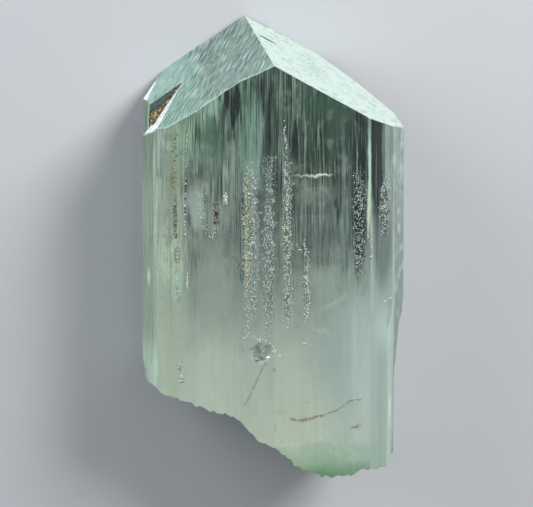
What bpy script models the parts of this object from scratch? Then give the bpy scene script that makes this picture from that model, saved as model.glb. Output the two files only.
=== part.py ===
"""A gem-spodumene (kunzite) crystal lying on its broad back face.

Two flattened crystals grew side by side along their length, one in front of the other.
They share one roof-shaped end and one broken base, and are a single solid. The second
node is the iron-stained matrix crumb that is wedged in the notch between them.

Lengths are in millimetres and become metres when a mesh is built. While modelling, x runs
across the prism, y along it, with y = 0 where the roof's ridge meets the front face, and
z up from the resting face. Last of all, the model moves so that its origin is in the
middle of its footprint, on the resting plane.
"""
import random

import bmesh
import bpy
from mathutils import Vector, noise

MM = 0.001

# Driving dimensions, in millimetres.
THICKNESS = 19.3        # resting face to the front face at the ridge
FRONT_BACK = 6.1        # the underside of the front crystal
BACK_FRONT = 6.7        # the upper side of the back crystal, which overlaps the front one
PRISM_TOP = 14.0        # both prisms start past the roof and are then cut to length
PRISM_BOTTOM = -92.0    # and run past the broken base
REST_GROOVE = 0.4       # depth of the shallow hollow along the resting face

# The roof: slopes of its faces, as millimetres of y for each millimetre across or up.
RIDGE_FALL = 0.33       # the ridge climbs from the front face towards the back one
RIGHT_FALL = 0.584
LEFT_FALL = 0.612
SUTURE_STEP = 0.15      # the back crystal's left roof face stands this much higher
BEVEL_FRONT = (1.256, 0.312, Vector((-22.39, -12.03, 14.25)))
BEVEL_BACK = (1.106, 0.08, Vector((-21.47, -8.29, 4.64)))

# Outlines across the length, as (x, z) going anticlockwise for a view along +y.
FRONT_OUTLINE = (
    (-22.85, FRONT_BACK), (24.0, FRONT_BACK), (27.55, 9.88), (27.9, 11.1), (27.95, 12.3),
    (27.9, 15.13), (24.8, 17.84), (19.45, 20.03), (18.9, 20.0), (7.0, 19.62),
    (0.0, THICKNESS), (-3.2, 18.25), (-6.2, 17.12), (-9.2, 16.9), (-15.1, 16.9),
    (-18.4, 16.24), (-21.0, 15.77), (-22.4, 14.25), (-22.85, 13.3),
)
FRONT_FROM = 5          # from this point on the outline faces the front
BACK_OUTLINE = (
    (-21.55, 2.7), (-18.6, 1.24), (-17.6, 0.35), (-16.9, 0.0), (-9.0, 0.0),
    (-8.6, REST_GROOVE), (4.6, REST_GROOVE), (5.2, 0.0), (14.6, 0.0), (15.4, 0.25),
    (17.65, 1.5), (22.0, 4.2), (24.4, BACK_FRONT), (-21.55, BACK_FRONT),
)

# The right side steps in towards the base: y, and how far in.
RIGHT_STEP = ((-48.0, 0.0), (-51.9, 0.3), (-54.0, 0.95), (-59.5, 1.45), (-65.4, 1.98))
RIGHT_STEP_FROM = 23.5  # only what is further right than this moves in

# Where the broken base meets the front face: x, y.
BREAK_LINE = (
    (-26.0, -63.6), (-23.0, -63.6), (-21.0, -65.0), (-16.0, -66.8), (-12.0, -68.6),
    (-7.7, -70.1), (-6.1, -71.2), (-4.0, -73.9), (-2.6, -75.3), (-0.3, -76.1),
    (1.2, -77.3), (3.5, -79.1), (4.0, -80.1), (7.7, -81.9), (10.0, -82.8),
    (15.6, -83.0), (18.0, -81.8), (21.8, -82.2), (23.4, -82.1), (25.0, -80.8),
    (30.0, -78.5),
)
BREAK_CELL = 0.95       # spacing of the points on the broken surface
BREAK_RELIEF = 2.2      # height of its hollows and humps
BREAK_TERRACE = 0.8     # height of its cleavage steps
BREAK_CALM = 6.0        # the relief is full this far behind the front face
BREAK_SLANT = 0.34      # the break line shifts right by this for each millimetre back
BREAK_RISE = 0.12       # and climbs by this
BREAK_LEFT_CHIP = (-20.0, 8.4, 1.3)  # left of this x and below this z it climbs so fast

# Growth ledges and grooves along the faces.
LEDGE_HEIGHT = (0.12, 0.3)
LEDGE_WIDTH = (0.7, 2.0)
LEDGE_LENGTH = (14.0, 42.0)
LEDGE_GAP = (0.5, 1.6)
LEDGE_SHORTEST = 7.0
LEDGE_PAUSE = (4.0, 22.0)
LEDGE_FLANK = 0.14
LEDGE_ROOT = 0.5        # how far a ledge or a groove's cutter reaches past the face
LEDGE_SEED = 11

# A bright rib along the edge between the front face and its right-hand bevel.
RIB_TOP = PRISM_TOP - 2.0
RIB_BOTTOM = -35.5
RIB_WIDTH = 0.8
RIB_HEIGHT = 0.35

# A shallow etch pit on the front face, and small chips along the edges.
PIT_CENTRE = (-2.5, -56.9, 18.8)
PIT_SIZE = (1.4, 1.25, 0.9)
CHIPS = (
    ((28.1, -31.0, 11.6), (0.6, 2.2, 1.2)), ((-21.8, -33.0, 2.6), (0.5, 2.6, 0.7)),
    ((-22.9, -50.5, 6.2), (0.5, 3.0, 0.6)), ((25.6, -74.5, 12.2), (0.5, 2.4, 0.9)),
    ((-17.5, -38.0, 0.2), (0.7, 3.0, 0.5)), ((15.2, -52.0, 0.0), (0.6, 4.0, 0.5)),
)
CHIP_ROUGHNESS = 0.22

# The matrix crumb, which lies along the bottom of the notch: x, height up the wall.
CRUMB_HEIGHTS = ((-21.35, 2.3), (-20.9, 2.1), (-19.6, 1.3), (-18.2, 0.6), (-15.6, 0.3))
CRUMB_DEPTH = 0.8       # how far it reaches forward for each millimetre of height
CRUMB_BULGE = 0.45
CRUMB_GAP = 0.42
CRUMB_RELIEF = 0.35
CRUMB_STATIONS = 14
CRUMB_SIDES = 9

CRYSTAL_COLOUR = (0.42, 0.55, 0.46, 1.0)
CRYSTAL_ROUGHNESS = 0.12
MATRIX_COLOUR = (0.16, 0.07, 0.025, 1.0)
MATRIX_ROUGHNESS = 0.95


def between(pairs, at):
    """Straight-line reading of rising (at, value) pairs, held level past both ends."""
    if at <= pairs[0][0]:
        return pairs[0][1]
    for (low, low_value), (high, high_value) in zip(pairs, pairs[1:]):
        if at <= high:
            return low_value + (high_value - low_value) * (at - low) / (high - low)
    return pairs[-1][1]


def surface_material(name, colour, roughness):
    """A Principled material of one colour."""
    material = bpy.data.materials.new(name)
    material.use_nodes = True
    shader = material.node_tree.nodes["Principled BSDF"]
    shader.inputs["Base Color"].default_value = colour
    shader.inputs["Roughness"].default_value = roughness
    shader.inputs["Metallic"].default_value = 0.0
    material.diffuse_color = colour
    return material


def add_object(name, bm):
    """Turn a mesh built in millimetres into an object in metres, faces pointing out."""
    bmesh.ops.recalc_face_normals(bm, faces=bm.faces[:])
    bmesh.ops.scale(bm, vec=(MM, MM, MM), verts=bm.verts[:])
    mesh = bpy.data.meshes.new(name)
    bm.to_mesh(mesh)
    bm.free()
    obj = bpy.data.objects.new(name, mesh)
    bpy.context.collection.objects.link(obj)
    return obj


def add_cutter(name, bm):
    """An object that only shapes another one."""
    cutter = add_object(name, bm)
    cutter.hide_render = True
    cutter.display_type = "WIRE"
    return cutter


def skin_rings(bm, rings):
    """Join rings of points into one closed tube, capped at both ends."""
    made = [[bm.verts.new(point) for point in ring] for ring in rings]
    count = len(made[0])
    for lower, upper in zip(made, made[1:]):
        for index in range(count):
            after = (index + 1) % count
            bm.faces.new((lower[index], lower[after], upper[after], upper[index]))
    bm.faces.new(list(reversed(made[0])))
    bm.faces.new(made[-1])


def step_in(x, y):
    """Move a point on the right side in, where the side is stepped."""
    rising = [(-at, inset) for at, inset in RIGHT_STEP]
    inset = between(rising, -y)
    return x - inset if x > RIGHT_STEP_FROM else x


def prism(outline):
    """A prism along y, with a ring of points wherever its right side changes."""
    bm = bmesh.new()
    stations = [PRISM_BOTTOM] + [y for y, inset in reversed(RIGHT_STEP)] + [PRISM_TOP]
    skin_rings(bm, [[(step_in(x, y), y, z) for x, z in outline] for y in stations])
    return bm


def cut_flat(bm, point, normal):
    """Remove what is beyond a plane and close the cut with a flat face."""
    everything = bm.verts[:] + bm.edges[:] + bm.faces[:]
    cut = bmesh.ops.bisect_plane(
        bm, geom=everything, plane_co=point, plane_no=normal, clear_outer=True)
    rim = [edge for edge in cut["geom_cut"] if isinstance(edge, bmesh.types.BMEdge)]
    bmesh.ops.edgeloop_fill(bm, edges=rim)


def roof_plane(fall_across, lift=0.0):
    """Point and normal of the plane y = fall_across * x + RIDGE_FALL * depth + lift."""
    point = Vector((0.0, lift, THICKNESS))
    normal = Vector((-fall_across, 1.0, RIDGE_FALL))
    return point, normal.normalized()


def bevel_plane(bevel):
    """Point and normal of one of the two bevel faces at the left end of the roof."""
    fall_across, rise_up, point = bevel
    return point, Vector((-fall_across, 1.0, -rise_up)).normalized()


def back_crystal():
    """The crystal behind, with its own bevel and a left roof face that stands higher."""
    bm = prism(BACK_OUTLINE)
    cut_flat(bm, *roof_plane(LEFT_FALL, SUTURE_STEP))
    cut_flat(bm, *bevel_plane(BEVEL_BACK))
    return bm


def block_beyond(point, normal):
    """A block that covers everything beyond a plane."""
    bm = bmesh.new()
    bmesh.ops.create_cube(bm, size=1.0)
    bmesh.ops.scale(bm, vec=(160.0, 40.0, 160.0), verts=bm.verts[:])
    turn = Vector((0.0, 1.0, 0.0)).rotation_difference(normal)
    bmesh.ops.transform(bm, matrix=turn.to_matrix().to_4x4(), verts=bm.verts[:])
    bmesh.ops.translate(bm, vec=point + normal * 20.0, verts=bm.verts[:])
    return bm


def break_height(x, z):
    """y of the broken surface: cleavage steps and hollows behind the front rim."""
    front_rim = tuple(reversed(FRONT_OUTLINE[FRONT_FROM:]))
    depth = max(0.0, between(front_rim, x) - z)
    calm = min(1.0, depth / BREAK_CALM)
    wave = noise.noise(Vector((x * 0.16, z * 0.2, 3.7)))
    fine = noise.noise(Vector((x * 0.5, z * 0.55, 9.1)))
    splinter = noise.noise(Vector((x * 0.33, z * 0.07, 1.3)))
    terraces = BREAK_TERRACE * round(3.0 * splinter)
    relief = BREAK_RELIEF * (0.6 * wave + 0.25 * fine) + terraces
    chip_x, chip_z, chip_climb = BREAK_LEFT_CHIP
    chip = chip_climb * min(2.4, max(0.0, chip_z - z)) if x < chip_x else 0.0
    rim = between(BREAK_LINE, x - BREAK_SLANT * depth)
    return rim + BREAK_RISE * depth + calm * relief + chip


def base_cutter():
    """A block under the broken base, its upper side a grid that follows the break."""
    left, right = -30.0, 34.0
    low, high = -4.0, 25.0
    across = round((right - left) / BREAK_CELL)
    up = round((high - low) / BREAK_CELL)
    bm = bmesh.new()
    grid = []
    for row in range(up + 1):
        z = low + (high - low) * row / up
        xs = [left + (right - left) * column / across for column in range(across + 1)]
        grid.append([bm.verts.new((x, break_height(x, z), z)) for x in xs])
    for lower, upper in zip(grid, grid[1:]):
        for index in range(across):
            corners = (lower[index], lower[index + 1], upper[index + 1], upper[index])
            bm.faces.new(corners)
    rim = [edge for edge in bm.edges if edge.is_boundary]
    wall = bmesh.ops.extrude_edge_only(bm, edges=rim)["geom"]
    for vert in wall:
        if isinstance(vert, bmesh.types.BMVert):
            vert.co.y = PRISM_BOTTOM - 12.0
    floor = [edge for edge in bm.edges if edge.is_boundary]
    bmesh.ops.edgeloop_fill(bm, edges=floor)
    return bm


def ledge(bm, foot, along, out, width, top, bottom, height):
    """One long tapered plate on a face. A negative height makes it a groove's cutter."""
    taper = min(6.0, 0.3 * (top - bottom))
    reach = LEDGE_ROOT if height > 0 else -LEDGE_ROOT
    rings = []
    for y, share in ((bottom, 0.25), (bottom + taper, 1.0), (top - taper, 1.0), (top, 0.25)):
        half = 0.5 * width * share
        tall = height * (0.15 if share < 1.0 else 1.0)
        flank = min(LEDGE_FLANK, 0.4 * half)
        corners = ((-half, -reach), (half, -reach), (half - flank, tall), (flank - half, tall))
        flat = [foot + along * side + out * rise for side, rise in corners]
        rings.append([(point.x, y, point.y) for point in flat])
    skin_rings(bm, rings)


def ledges_on(bm, rng, start, end, lowest, sign):
    """Ledges (sign 1) or grooves (sign -1) side by side across one face."""
    edge = Vector(end) - Vector(start)
    along = edge.normalized()
    out = Vector((along.y, -along.x))
    reached = rng.uniform(*LEDGE_GAP)
    while True:
        width = rng.uniform(*LEDGE_WIDTH)
        if reached + width > edge.length - 0.3:
            return
        foot = Vector(start) + along * (reached + 0.5 * width)
        height = sign * rng.uniform(*LEDGE_HEIGHT)
        top = rng.uniform(-30.0, 11.0)
        while top - LEDGE_SHORTEST > lowest:
            bottom = max(lowest, top - rng.uniform(*LEDGE_LENGTH))
            if top - bottom > LEDGE_SHORTEST:
                ledge(bm, foot, along, out, width, top, bottom, height)
            top = bottom - rng.uniform(*LEDGE_PAUSE)
        reached += width + rng.uniform(*LEDGE_GAP)


def growth_ledges(sign, faces, seed):
    """All the raised ledges, or all the grooves, as one mesh of separate plates."""
    rng = random.Random(seed)
    bm = bmesh.new()
    for start, end, lowest in faces:
        ledges_on(bm, rng, start, end, lowest, sign)
    return bm


def edge_rib():
    """The rib on the edge between the front face and the right-hand bevel."""
    bm = bmesh.new()
    foot = Vector((19.2, 19.98))
    out = Vector((0.16, 1.0)).normalized()
    along = Vector((-out.y, out.x))
    ledge(bm, foot, along, out, RIB_WIDTH, RIB_TOP, RIB_BOTTOM, RIB_HEIGHT)
    return bm


def lump(bm, centre, size, roughness):
    """A rough ellipsoid."""
    made = bmesh.ops.create_icosphere(bm, subdivisions=2, radius=1.0)["verts"]
    for vert in made:
        swell = 1.0 + roughness * noise.noise(vert.co * 1.7 + Vector(centre))
        spread = [radius * swell * part for radius, part in zip(size, vert.co)]
        vert.co = Vector(centre) + Vector(spread)


def pits_and_chips():
    """The etch pit and the chips, as one cutter of separate lumps."""
    bm = bmesh.new()
    lump(bm, PIT_CENTRE, PIT_SIZE, CHIP_ROUGHNESS)
    for centre, size in CHIPS:
        lump(bm, centre, size, CHIP_ROUGHNESS)
    return bm


def notch_matrix():
    """The crumb: a tapering, lumpy bar in the corner between bevel and wall."""
    fall_across, rise_up, point = BEVEL_FRONT
    up_wall = Vector((0.0, 1.0, 0.0))
    up_bevel = Vector((0.0, rise_up, 1.0)).normalized()
    first, last = CRUMB_HEIGHTS[0][0], CRUMB_HEIGHTS[-1][0]
    bm = bmesh.new()
    rings = []
    for station in range(CRUMB_STATIONS):
        x = first + (last - first) * station / (CRUMB_STATIONS - 1)
        corner_y = point.y + fall_across * (x - point.x) + rise_up * (BACK_FRONT - point.z)
        corner = Vector((x, corner_y, BACK_FRONT)) + (up_wall + up_bevel) * CRUMB_GAP
        height = between(CRUMB_HEIGHTS, x)
        ring = [corner]
        for side in range(CRUMB_SIDES):
            turn = side / (CRUMB_SIDES - 1)
            arch = 4.0 * turn * (1.0 - turn)
            spot = up_wall * (1.0 - turn) + up_bevel * turn * CRUMB_DEPTH
            lumps = CRUMB_RELIEF * noise.noise(Vector((x, turn * 3.0, 5.0)) * 1.3)
            ring.append(corner + spot * height * (1.0 + arch * (CRUMB_BULGE + lumps)))
        rings.append(ring)
    skin_rings(bm, rings)
    return bm


def boolean(target, operation, operand):
    """Shape one object by another, exactly."""
    modifier = target.modifiers.new(operand.name, "BOOLEAN")
    modifier.operation = operation
    modifier.solver = "EXACT"
    modifier.object = operand


def rest_on_origin(objects):
    """Move everything so that the footprint's centre is the origin."""
    bpy.context.view_layer.update()
    graph = bpy.context.evaluated_depsgraph_get()
    corners = []
    for obj in objects:
        mesh = obj.evaluated_get(graph).to_mesh()
        corners += [obj.matrix_world @ vert.co for vert in mesh.vertices]
    spans = [(min(c[axis] for c in corners), max(c[axis] for c in corners)) for axis in range(3)]
    shift = Vector((-sum(spans[0]) / 2.0, -sum(spans[1]) / 2.0, -spans[2][0]))
    for obj in bpy.data.objects:
        obj.location += shift


def faces_of(outline, starts, lowest):
    """Faces of an outline, each with how far down its ledges may run."""
    count = len(outline)
    return [(outline[at], outline[(at + 1) % count], lowest) for at in starts]


def build():
    """Clear the scene and model both pieces."""
    for obj in list(bpy.data.objects):
        bpy.data.objects.remove(obj)
    step_top = RIGHT_STEP[0][0]
    broad_faces = faces_of(FRONT_OUTLINE, (8, 9, 12, 13, 14, 18), PRISM_BOTTOM)
    right_faces = faces_of(FRONT_OUTLINE, (1, 4, 5), step_top)
    hidden_faces = faces_of(BACK_OUTLINE, (0, 5, 10, 13), step_top)

    crystal = add_object("kunzite_crystal", prism(FRONT_OUTLINE))
    crystal.data.materials.append(
        surface_material("pale green spodumene", CRYSTAL_COLOUR, CRYSTAL_ROUGHNESS))
    ledges = growth_ledges(1, broad_faces + right_faces, LEDGE_SEED)
    left_roof = block_beyond(*roof_plane(LEFT_FALL))
    left_bevel = block_beyond(*bevel_plane(BEVEL_FRONT))
    grooves = growth_ledges(-1, broad_faces + hidden_faces, LEDGE_SEED + 1)
    right_roof = block_beyond(*roof_plane(-RIGHT_FALL))
    steps = (
        ("growth ledges", "UNION", ledges),
        ("edge rib", "UNION", edge_rib()),
        ("left roof face", "DIFFERENCE", left_roof),
        ("left bevel", "DIFFERENCE", left_bevel),
        ("back crystal", "UNION", back_crystal()),
        ("growth grooves", "DIFFERENCE", grooves),
        ("right roof face", "DIFFERENCE", right_roof),
        ("broken base", "DIFFERENCE", base_cutter()),
        ("pit and chips", "DIFFERENCE", pits_and_chips()),
    )
    for name, operation, shape in steps:
        boolean(crystal, operation, add_cutter(name, shape))

    crumb = add_object("notch_matrix", notch_matrix())
    crumb.data.materials.append(
        surface_material("iron-stained matrix", MATRIX_COLOUR, MATRIX_ROUGHNESS))
    rest_on_origin([crystal, crumb])


build()
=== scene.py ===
"""The finish of a gem-spodumene (kunzite) crystal that lies on its broad back face.

Lengths in the shape code are millimetres in the crystal's own frame: x across the prism,
y along it with 0 at the front end of the roof's ridge, z up from the resting face.
"""
import math
import random

import bpy
import numpy as np
from bpy.props import FloatProperty, FloatVectorProperty, IntProperty, PointerProperty
from mathutils import Matrix, Vector, noise
from mathutils.geometry import delaunay_2d_cdt


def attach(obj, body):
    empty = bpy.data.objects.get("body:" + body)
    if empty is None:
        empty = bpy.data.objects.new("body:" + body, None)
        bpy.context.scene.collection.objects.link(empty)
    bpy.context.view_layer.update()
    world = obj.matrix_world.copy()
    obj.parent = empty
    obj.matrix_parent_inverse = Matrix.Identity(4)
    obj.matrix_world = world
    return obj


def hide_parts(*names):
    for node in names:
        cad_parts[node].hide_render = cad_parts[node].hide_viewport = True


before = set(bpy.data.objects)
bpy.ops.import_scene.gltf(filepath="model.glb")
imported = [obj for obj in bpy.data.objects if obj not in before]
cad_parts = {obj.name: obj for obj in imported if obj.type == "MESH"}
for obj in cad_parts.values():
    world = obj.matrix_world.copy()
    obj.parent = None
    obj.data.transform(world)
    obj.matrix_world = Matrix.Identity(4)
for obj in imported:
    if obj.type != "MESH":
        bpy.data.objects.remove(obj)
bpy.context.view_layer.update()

bl_info = {
    "name": "Kunzite crystal finish",
    "version": (1, 0, 0),
    "blender": (4, 5, 0),
    "location": "View3D > Sidebar > Kunzite",
    "description": "Builds the detailed crystal, its inclusions, the matrix crumb and a stage",
    "category": "Object",
}

MM = 0.001
CRYSTAL_NODE = "kunzite_crystal"
CRUMB_NODE = "notch_matrix"

# The prism's sizes, which are those of its solid.
THICKNESS = 19.3
FRONT_BACK = 6.1        # the underside of the front crystal
BACK_FRONT = 6.7        # the upper side of the back crystal
BACK_LEFT = -21.55      # the back crystal's left side
REST_GROOVE = 0.4       # how deep the hollow along the resting face is
# The roof: how y changes with depth along the ridge, and with x on its two faces.
RIDGE_FALL = 0.33
RIGHT_FALL = 0.584
LEFT_FALL = 0.612
SUTURE_STEP = 0.15      # how far the back crystal's left roof face stands above the front's
SEAM = 0.06             # width of the step between both crystals
# The two bevels at the roof's left end: rise with x, rise with z, a point on the plane.
BEVEL_FRONT = (1.256, 0.312, (-22.39, -12.03, 14.25))
BEVEL_BACK = (1.106, 0.08, (-21.47, -8.29, 4.64))

# The outline of both crystals together, as (x, z, kind of face that starts here).
REST, LOWER, SIDE, SUTURE, BEVEL, FRONT = range(6)
OUTLINE = (
    (-21.55, 2.7, LOWER), (-18.6, 1.24, LOWER), (-17.6, 0.35, LOWER), (-16.9, 0.0, REST),
    (-9.0, 0.0, LOWER), (-8.6, REST_GROOVE, LOWER), (4.6, REST_GROOVE, LOWER),
    (5.2, 0.0, REST), (14.6, 0.0, LOWER), (15.4, 0.25, LOWER), (17.65, 1.5, LOWER),
    (22.0, 4.2, LOWER), (23.82, FRONT_BACK, SUTURE), (24.0, FRONT_BACK, LOWER),
    (27.55, 9.88, SIDE), (27.9, 11.1, SIDE), (27.95, 12.3, SIDE), (27.9, 15.13, BEVEL),
    (24.8, 17.84, BEVEL), (19.45, 20.03, FRONT), (18.9, 20.0, FRONT), (7.0, 19.62, FRONT),
    (0.0, THICKNESS, FRONT), (-3.2, 18.25, FRONT), (-6.2, 17.12, FRONT),
    (-9.2, 16.9, FRONT), (-15.1, 16.9, FRONT), (-18.4, 16.24, FRONT),
    (-21.0, 15.77, BEVEL), (-22.4, 14.25, SIDE), (-22.85, 13.3, SIDE),
    (-22.85, FRONT_BACK, SUTURE), (BACK_LEFT, FRONT_BACK, SIDE),
)
# The stretch of it that faces the front, from the left.
FRONT_X, FRONT_Z = zip(*((x, z) for x, z, _ in reversed(OUTLINE[17:30])))
# How far the lower right side is set in, by the distance below the ridge's foot.
RIGHT_STEP = ((48.0, 0.0), (51.9, 0.3), (54.0, 0.95), (59.5, 1.45), (65.4, 1.98))
RIGHT_STEP_FROM = 23.5
# The front rim of the broken base, as (x, y).
BREAK_LINE = (
    (-26.0, -63.6), (-23.0, -63.6), (-21.0, -65.0), (-16.0, -66.8), (-12.0, -68.6),
    (-7.7, -70.1), (-6.1, -71.2), (-4.0, -73.9), (-2.6, -75.3), (-0.3, -76.1),
    (1.2, -77.3), (3.5, -79.1), (4.0, -80.1), (7.7, -81.9), (10.0, -82.8),
    (15.6, -83.0), (18.0, -81.8), (21.8, -82.2), (23.4, -82.1), (25.0, -80.8),
    (30.0, -78.5),
)
BREAK_CALM = 6.0        # depth behind the rim at which the break has its full relief
BREAK_SLANT = 0.34      # how far the break's shape moves to the right for each mm of depth
BREAK_RISE = 0.12       # how far it rises for each mm of depth
BREAK_RELIEF = 2.2
BREAK_TERRACE = 0.8
# The chipped lower left corner: left of x, below z, at most this tall, rise for each mm.
CHIP = (-20.0, 8.4, 2.4, 1.3)
PIT = (-2.5, -57.0, 1.7, 0.4)   # x, y, radius and depth of the etch pit
RIB = (19.2, 0.4, -35.5, 0.3)   # x, half width, lower end and height of the edge rib
NOTCH_END = -15.0       # right of this the notch has closed to a seam
# How tall the crumb is along the notch, as (x, height).
CRUMB_HEIGHTS = ((-21.35, 2.3), (-20.9, 2.1), (-19.6, 1.3), (-18.2, 0.6), (-15.6, 0.3))
SEAM_STAIN = (-10.3, -7.3)      # from and to x, where the closed seam is stained
CRUMB_STATIONS = 46
CRUMB_SIDES = 22

# How the rows of points are spread along the crystal: (from y, to y, rows) down its length.
LEVEL_ROWS = ((-17.0, -55.0, 34), (-55.0, -58.8, 20), (-58.8, -60.0, 2))
TOP_ROWS = 18
BOTTOM_ROWS = 22

# The finishes of the faces. Each face carries its finish as a number.
FINISHES = ("front", "hidden", "side", "roof right", "roof left", "roof bevel", "roof edge",
            "broken", "notch")

# The view: the crystal is seen 18 degrees round from its broad face, 13 towards its roof.
VIEW_TURN = math.radians(18.0)
VIEW_RISE = math.radians(13.0)
PIXEL = 0.195           # millimetres of the crystal for each pixel of the picture
PICTURE = (533, 507)
RIDGE_FOOT_PIXEL = (274.5, 67.0)
VIEW_DEPTH = 9.7        # how far behind the ridge's foot the scale above holds
LENS = 900.0
SENSOR = 36.0


# ---------------------------------------------------------------- shape of the crystal

def crystal_offset():
    """Where the crystal's own origin lies in the frame, found from the ridge's top."""
    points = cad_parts[CRYSTAL_NODE].data.vertices
    top = max((vert.co for vert in points), key=lambda co: co.y)
    return np.array((top.x / MM, top.y / MM - RIDGE_FALL * THICKNESS, 0.0))


def plane_height(bevel, x, z):
    """y of one of the bevel planes."""
    across, rise, (x0, y0, z0) = bevel
    return y0 + across * (x - x0) + rise * (z - z0)


def roof_height(x, z):
    """y of the roof over a point, with the notch and the step between both crystals."""
    depth = THICKNESS - z
    right = -RIGHT_FALL * x + RIDGE_FALL * depth
    left = LEFT_FALL * x + RIDGE_FALL * depth
    front = np.minimum(np.minimum(right, left), plane_height(BEVEL_FRONT, x, z))
    back = np.minimum(np.minimum(right, left + SUTURE_STEP), plane_height(BEVEL_BACK, x, z))
    below = np.clip((BACK_FRONT + SEAM - z) / SEAM, 0.0, 1.0)
    inside = np.clip((x - BACK_LEFT + 0.05) / 0.05, 0.0, 1.0)
    return front + (back - front) * below * inside


def front_height(x):
    """z of the front of the crystal, without its fine relief."""
    return float(np.interp(x, FRONT_X, FRONT_Z))


def wave(scale, *place):
    """Smooth noise at a place given in millimetres, for features of about that scale."""
    return noise.noise(Vector(place) / scale)


def break_height(x, z):
    """y of the broken base: cleavage steps, hollows and fine hackle behind its rim."""
    depth = max(0.0, front_height(x) - z)
    calm = min(1.0, depth / BREAK_CALM)
    broad = noise.noise(Vector((x * 0.16, z * 0.2, 3.7)))
    fine = noise.noise(Vector((x * 0.5, z * 0.55, 9.1)))
    splinter = noise.noise(Vector((x * 0.33, z * 0.07, 1.3)))
    terraces = BREAK_TERRACE * round(3.0 * splinter)
    relief = BREAK_RELIEF * (0.6 * broad + 0.25 * fine) + terraces
    hackle = 0.25 * wave(0.9, x, z * 0.5, 2.0) + 0.12 * wave(0.4, x, z * 0.7, 6.0)
    chip_x, chip_z, chip_tall, chip_rise = CHIP
    chip = chip_rise * min(chip_tall, max(0.0, chip_z - z)) if x < chip_x else 0.0
    line_x, line_y = zip(*BREAK_LINE)
    rim = np.interp(x - BREAK_SLANT * depth, line_x, line_y)
    ragged = 2.0 - min(1.0, depth)
    return float(rim) + BREAK_RISE * depth + calm * relief + chip + ragged * hackle


def outline_points(step):
    """Points round the outline: x, z, outward direction, kind of face, distance."""
    rows = []
    run = 0.0
    count = len(OUTLINE)
    for at in range(count):
        x0, z0, kind = OUTLINE[at]
        x1, z1 = OUTLINE[(at + 1) % count][:2]
        length = math.hypot(x1 - x0, z1 - z0)
        out = ((z1 - z0) / length, -(x1 - x0) / length)
        pieces = max(1, round(length / step))
        for part in range(pieces):
            share = part / pieces
            rows.append((x0 + (x1 - x0) * share, z0 + (z1 - z0) * share,
                         out[0], out[1], kind, run + length * share))
        run += length
    return rows


def growth_relief(kind, run, x, y, size):
    """How far a prism face stands out: long terraces and fine lines along the crystal."""
    if kind == REST:
        return 0.0
    field = FRONT if kind == BEVEL else kind
    broad = noise.noise(Vector((run / 4.5, y / 90.0, field)))
    terrace = noise.noise(Vector((run / 1.5, y / 42.0, field + 7.3)))
    line = noise.noise(Vector((run / 0.62, y / 24.0, field + 13.1)))
    relief = size * (0.5 * broad + 0.3 * round(3.0 * terrace) + 0.45 * line)
    relief *= 1.0 - 0.8 * min(1.0, max(0.0, (-45.0 - y) / 15.0))
    if kind in (LOWER, SUTURE):
        return -abs(relief) * 2.2
    rib_x, rib_half, rib_end, rib_height = RIB
    if abs(x - rib_x) < rib_half and y > rib_end:
        return relief * 0.3 + rib_height * min(1.0, (y - rib_end) / 4.0)
    return relief


def pit_depth(x, y):
    """How deep the etch pit is at a point of the front face."""
    pit_x, pit_y, radius, depth = PIT
    away = math.hypot(x - pit_x, (y - pit_y) * 1.08)
    ragged = radius * (1.0 + 0.45 * wave(1.1, x, y, 4.0))
    if away >= ragged:
        return 0.0
    return depth * (1.0 - (away / ragged) ** 2) ** 0.5 * (1.0 + 0.6 * wave(0.5, x, y, 8.0))


def step_in(x, y):
    """How far the right side is stepped in at a height."""
    if x <= RIGHT_STEP_FROM:
        return 0.0
    fall, inset = zip(*RIGHT_STEP)
    return float(np.interp(-y, fall, inset))


def row_heights(bottom, top):
    """Heights of one column of points: stretched at the ends, level between."""
    level_top, level_bottom = LEVEL_ROWS[0][0], LEVEL_ROWS[-1][1]
    heights = [top + (level_top - top) * at / TOP_ROWS for at in range(TOP_ROWS)]
    for start, end, rows in LEVEL_ROWS:
        heights += [start + (end - start) * at / rows for at in range(rows)]
    heights += [level_bottom + (bottom - level_bottom) * at / BOTTOM_ROWS
                for at in range(BOTTOM_ROWS + 1)]
    return heights[::-1]


def cap_points(ring, step, lines):
    """Points inside a ring: a jittered grid, and rows of points along crease lines."""
    rng = random.Random(5)
    xs, zs = [point[0] for point in ring], [point[1] for point in ring]
    points = []
    for x_of_z, z_low, z_high in lines:
        count = max(2, round(abs(z_high - z_low) / (0.6 * step)))
        for at in range(count + 1):
            z = z_low + (z_high - z_low) * at / count
            points.append((x_of_z(z), z))
    for z in (BACK_FRONT, BACK_FRONT + SEAM):
        count = round((max(xs) - min(xs)) / (0.6 * step))
        points += [(min(xs) + (max(xs) - min(xs)) * at / count, z) for at in range(count + 1)]
    fixed = np.array(points)
    across = round((max(xs) - min(xs)) / step)
    up = round((max(zs) - min(zs)) / step)
    for row in range(up + 1):
        for column in range(across + 1):
            x = min(xs) + (column + 0.5 * (row % 2) + rng.uniform(-0.18, 0.18)) * step
            z = min(zs) + (row + rng.uniform(-0.18, 0.18)) * step
            if np.min(np.hypot(fixed[:, 0] - x, fixed[:, 1] - z)) > 0.45 * step:
                points.append((x, z))
    return points


def inside(ring, x, z, margin):
    """Whether a point is inside a ring and at least a margin away from its points."""
    if np.min(np.hypot(ring[:, 0] - x, ring[:, 1] - z)) < margin:
        return False
    after = np.roll(ring, -1, axis=0)
    crosses = (ring[:, 1] > z) != (after[:, 1] > z)
    rise = after[crosses, 1] - ring[crosses, 1]
    at = ring[crosses, 0] + (z - ring[crosses, 1]) / rise * (after[crosses, 0] - ring[crosses, 0])
    return np.count_nonzero(at > x) % 2 == 1


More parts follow.
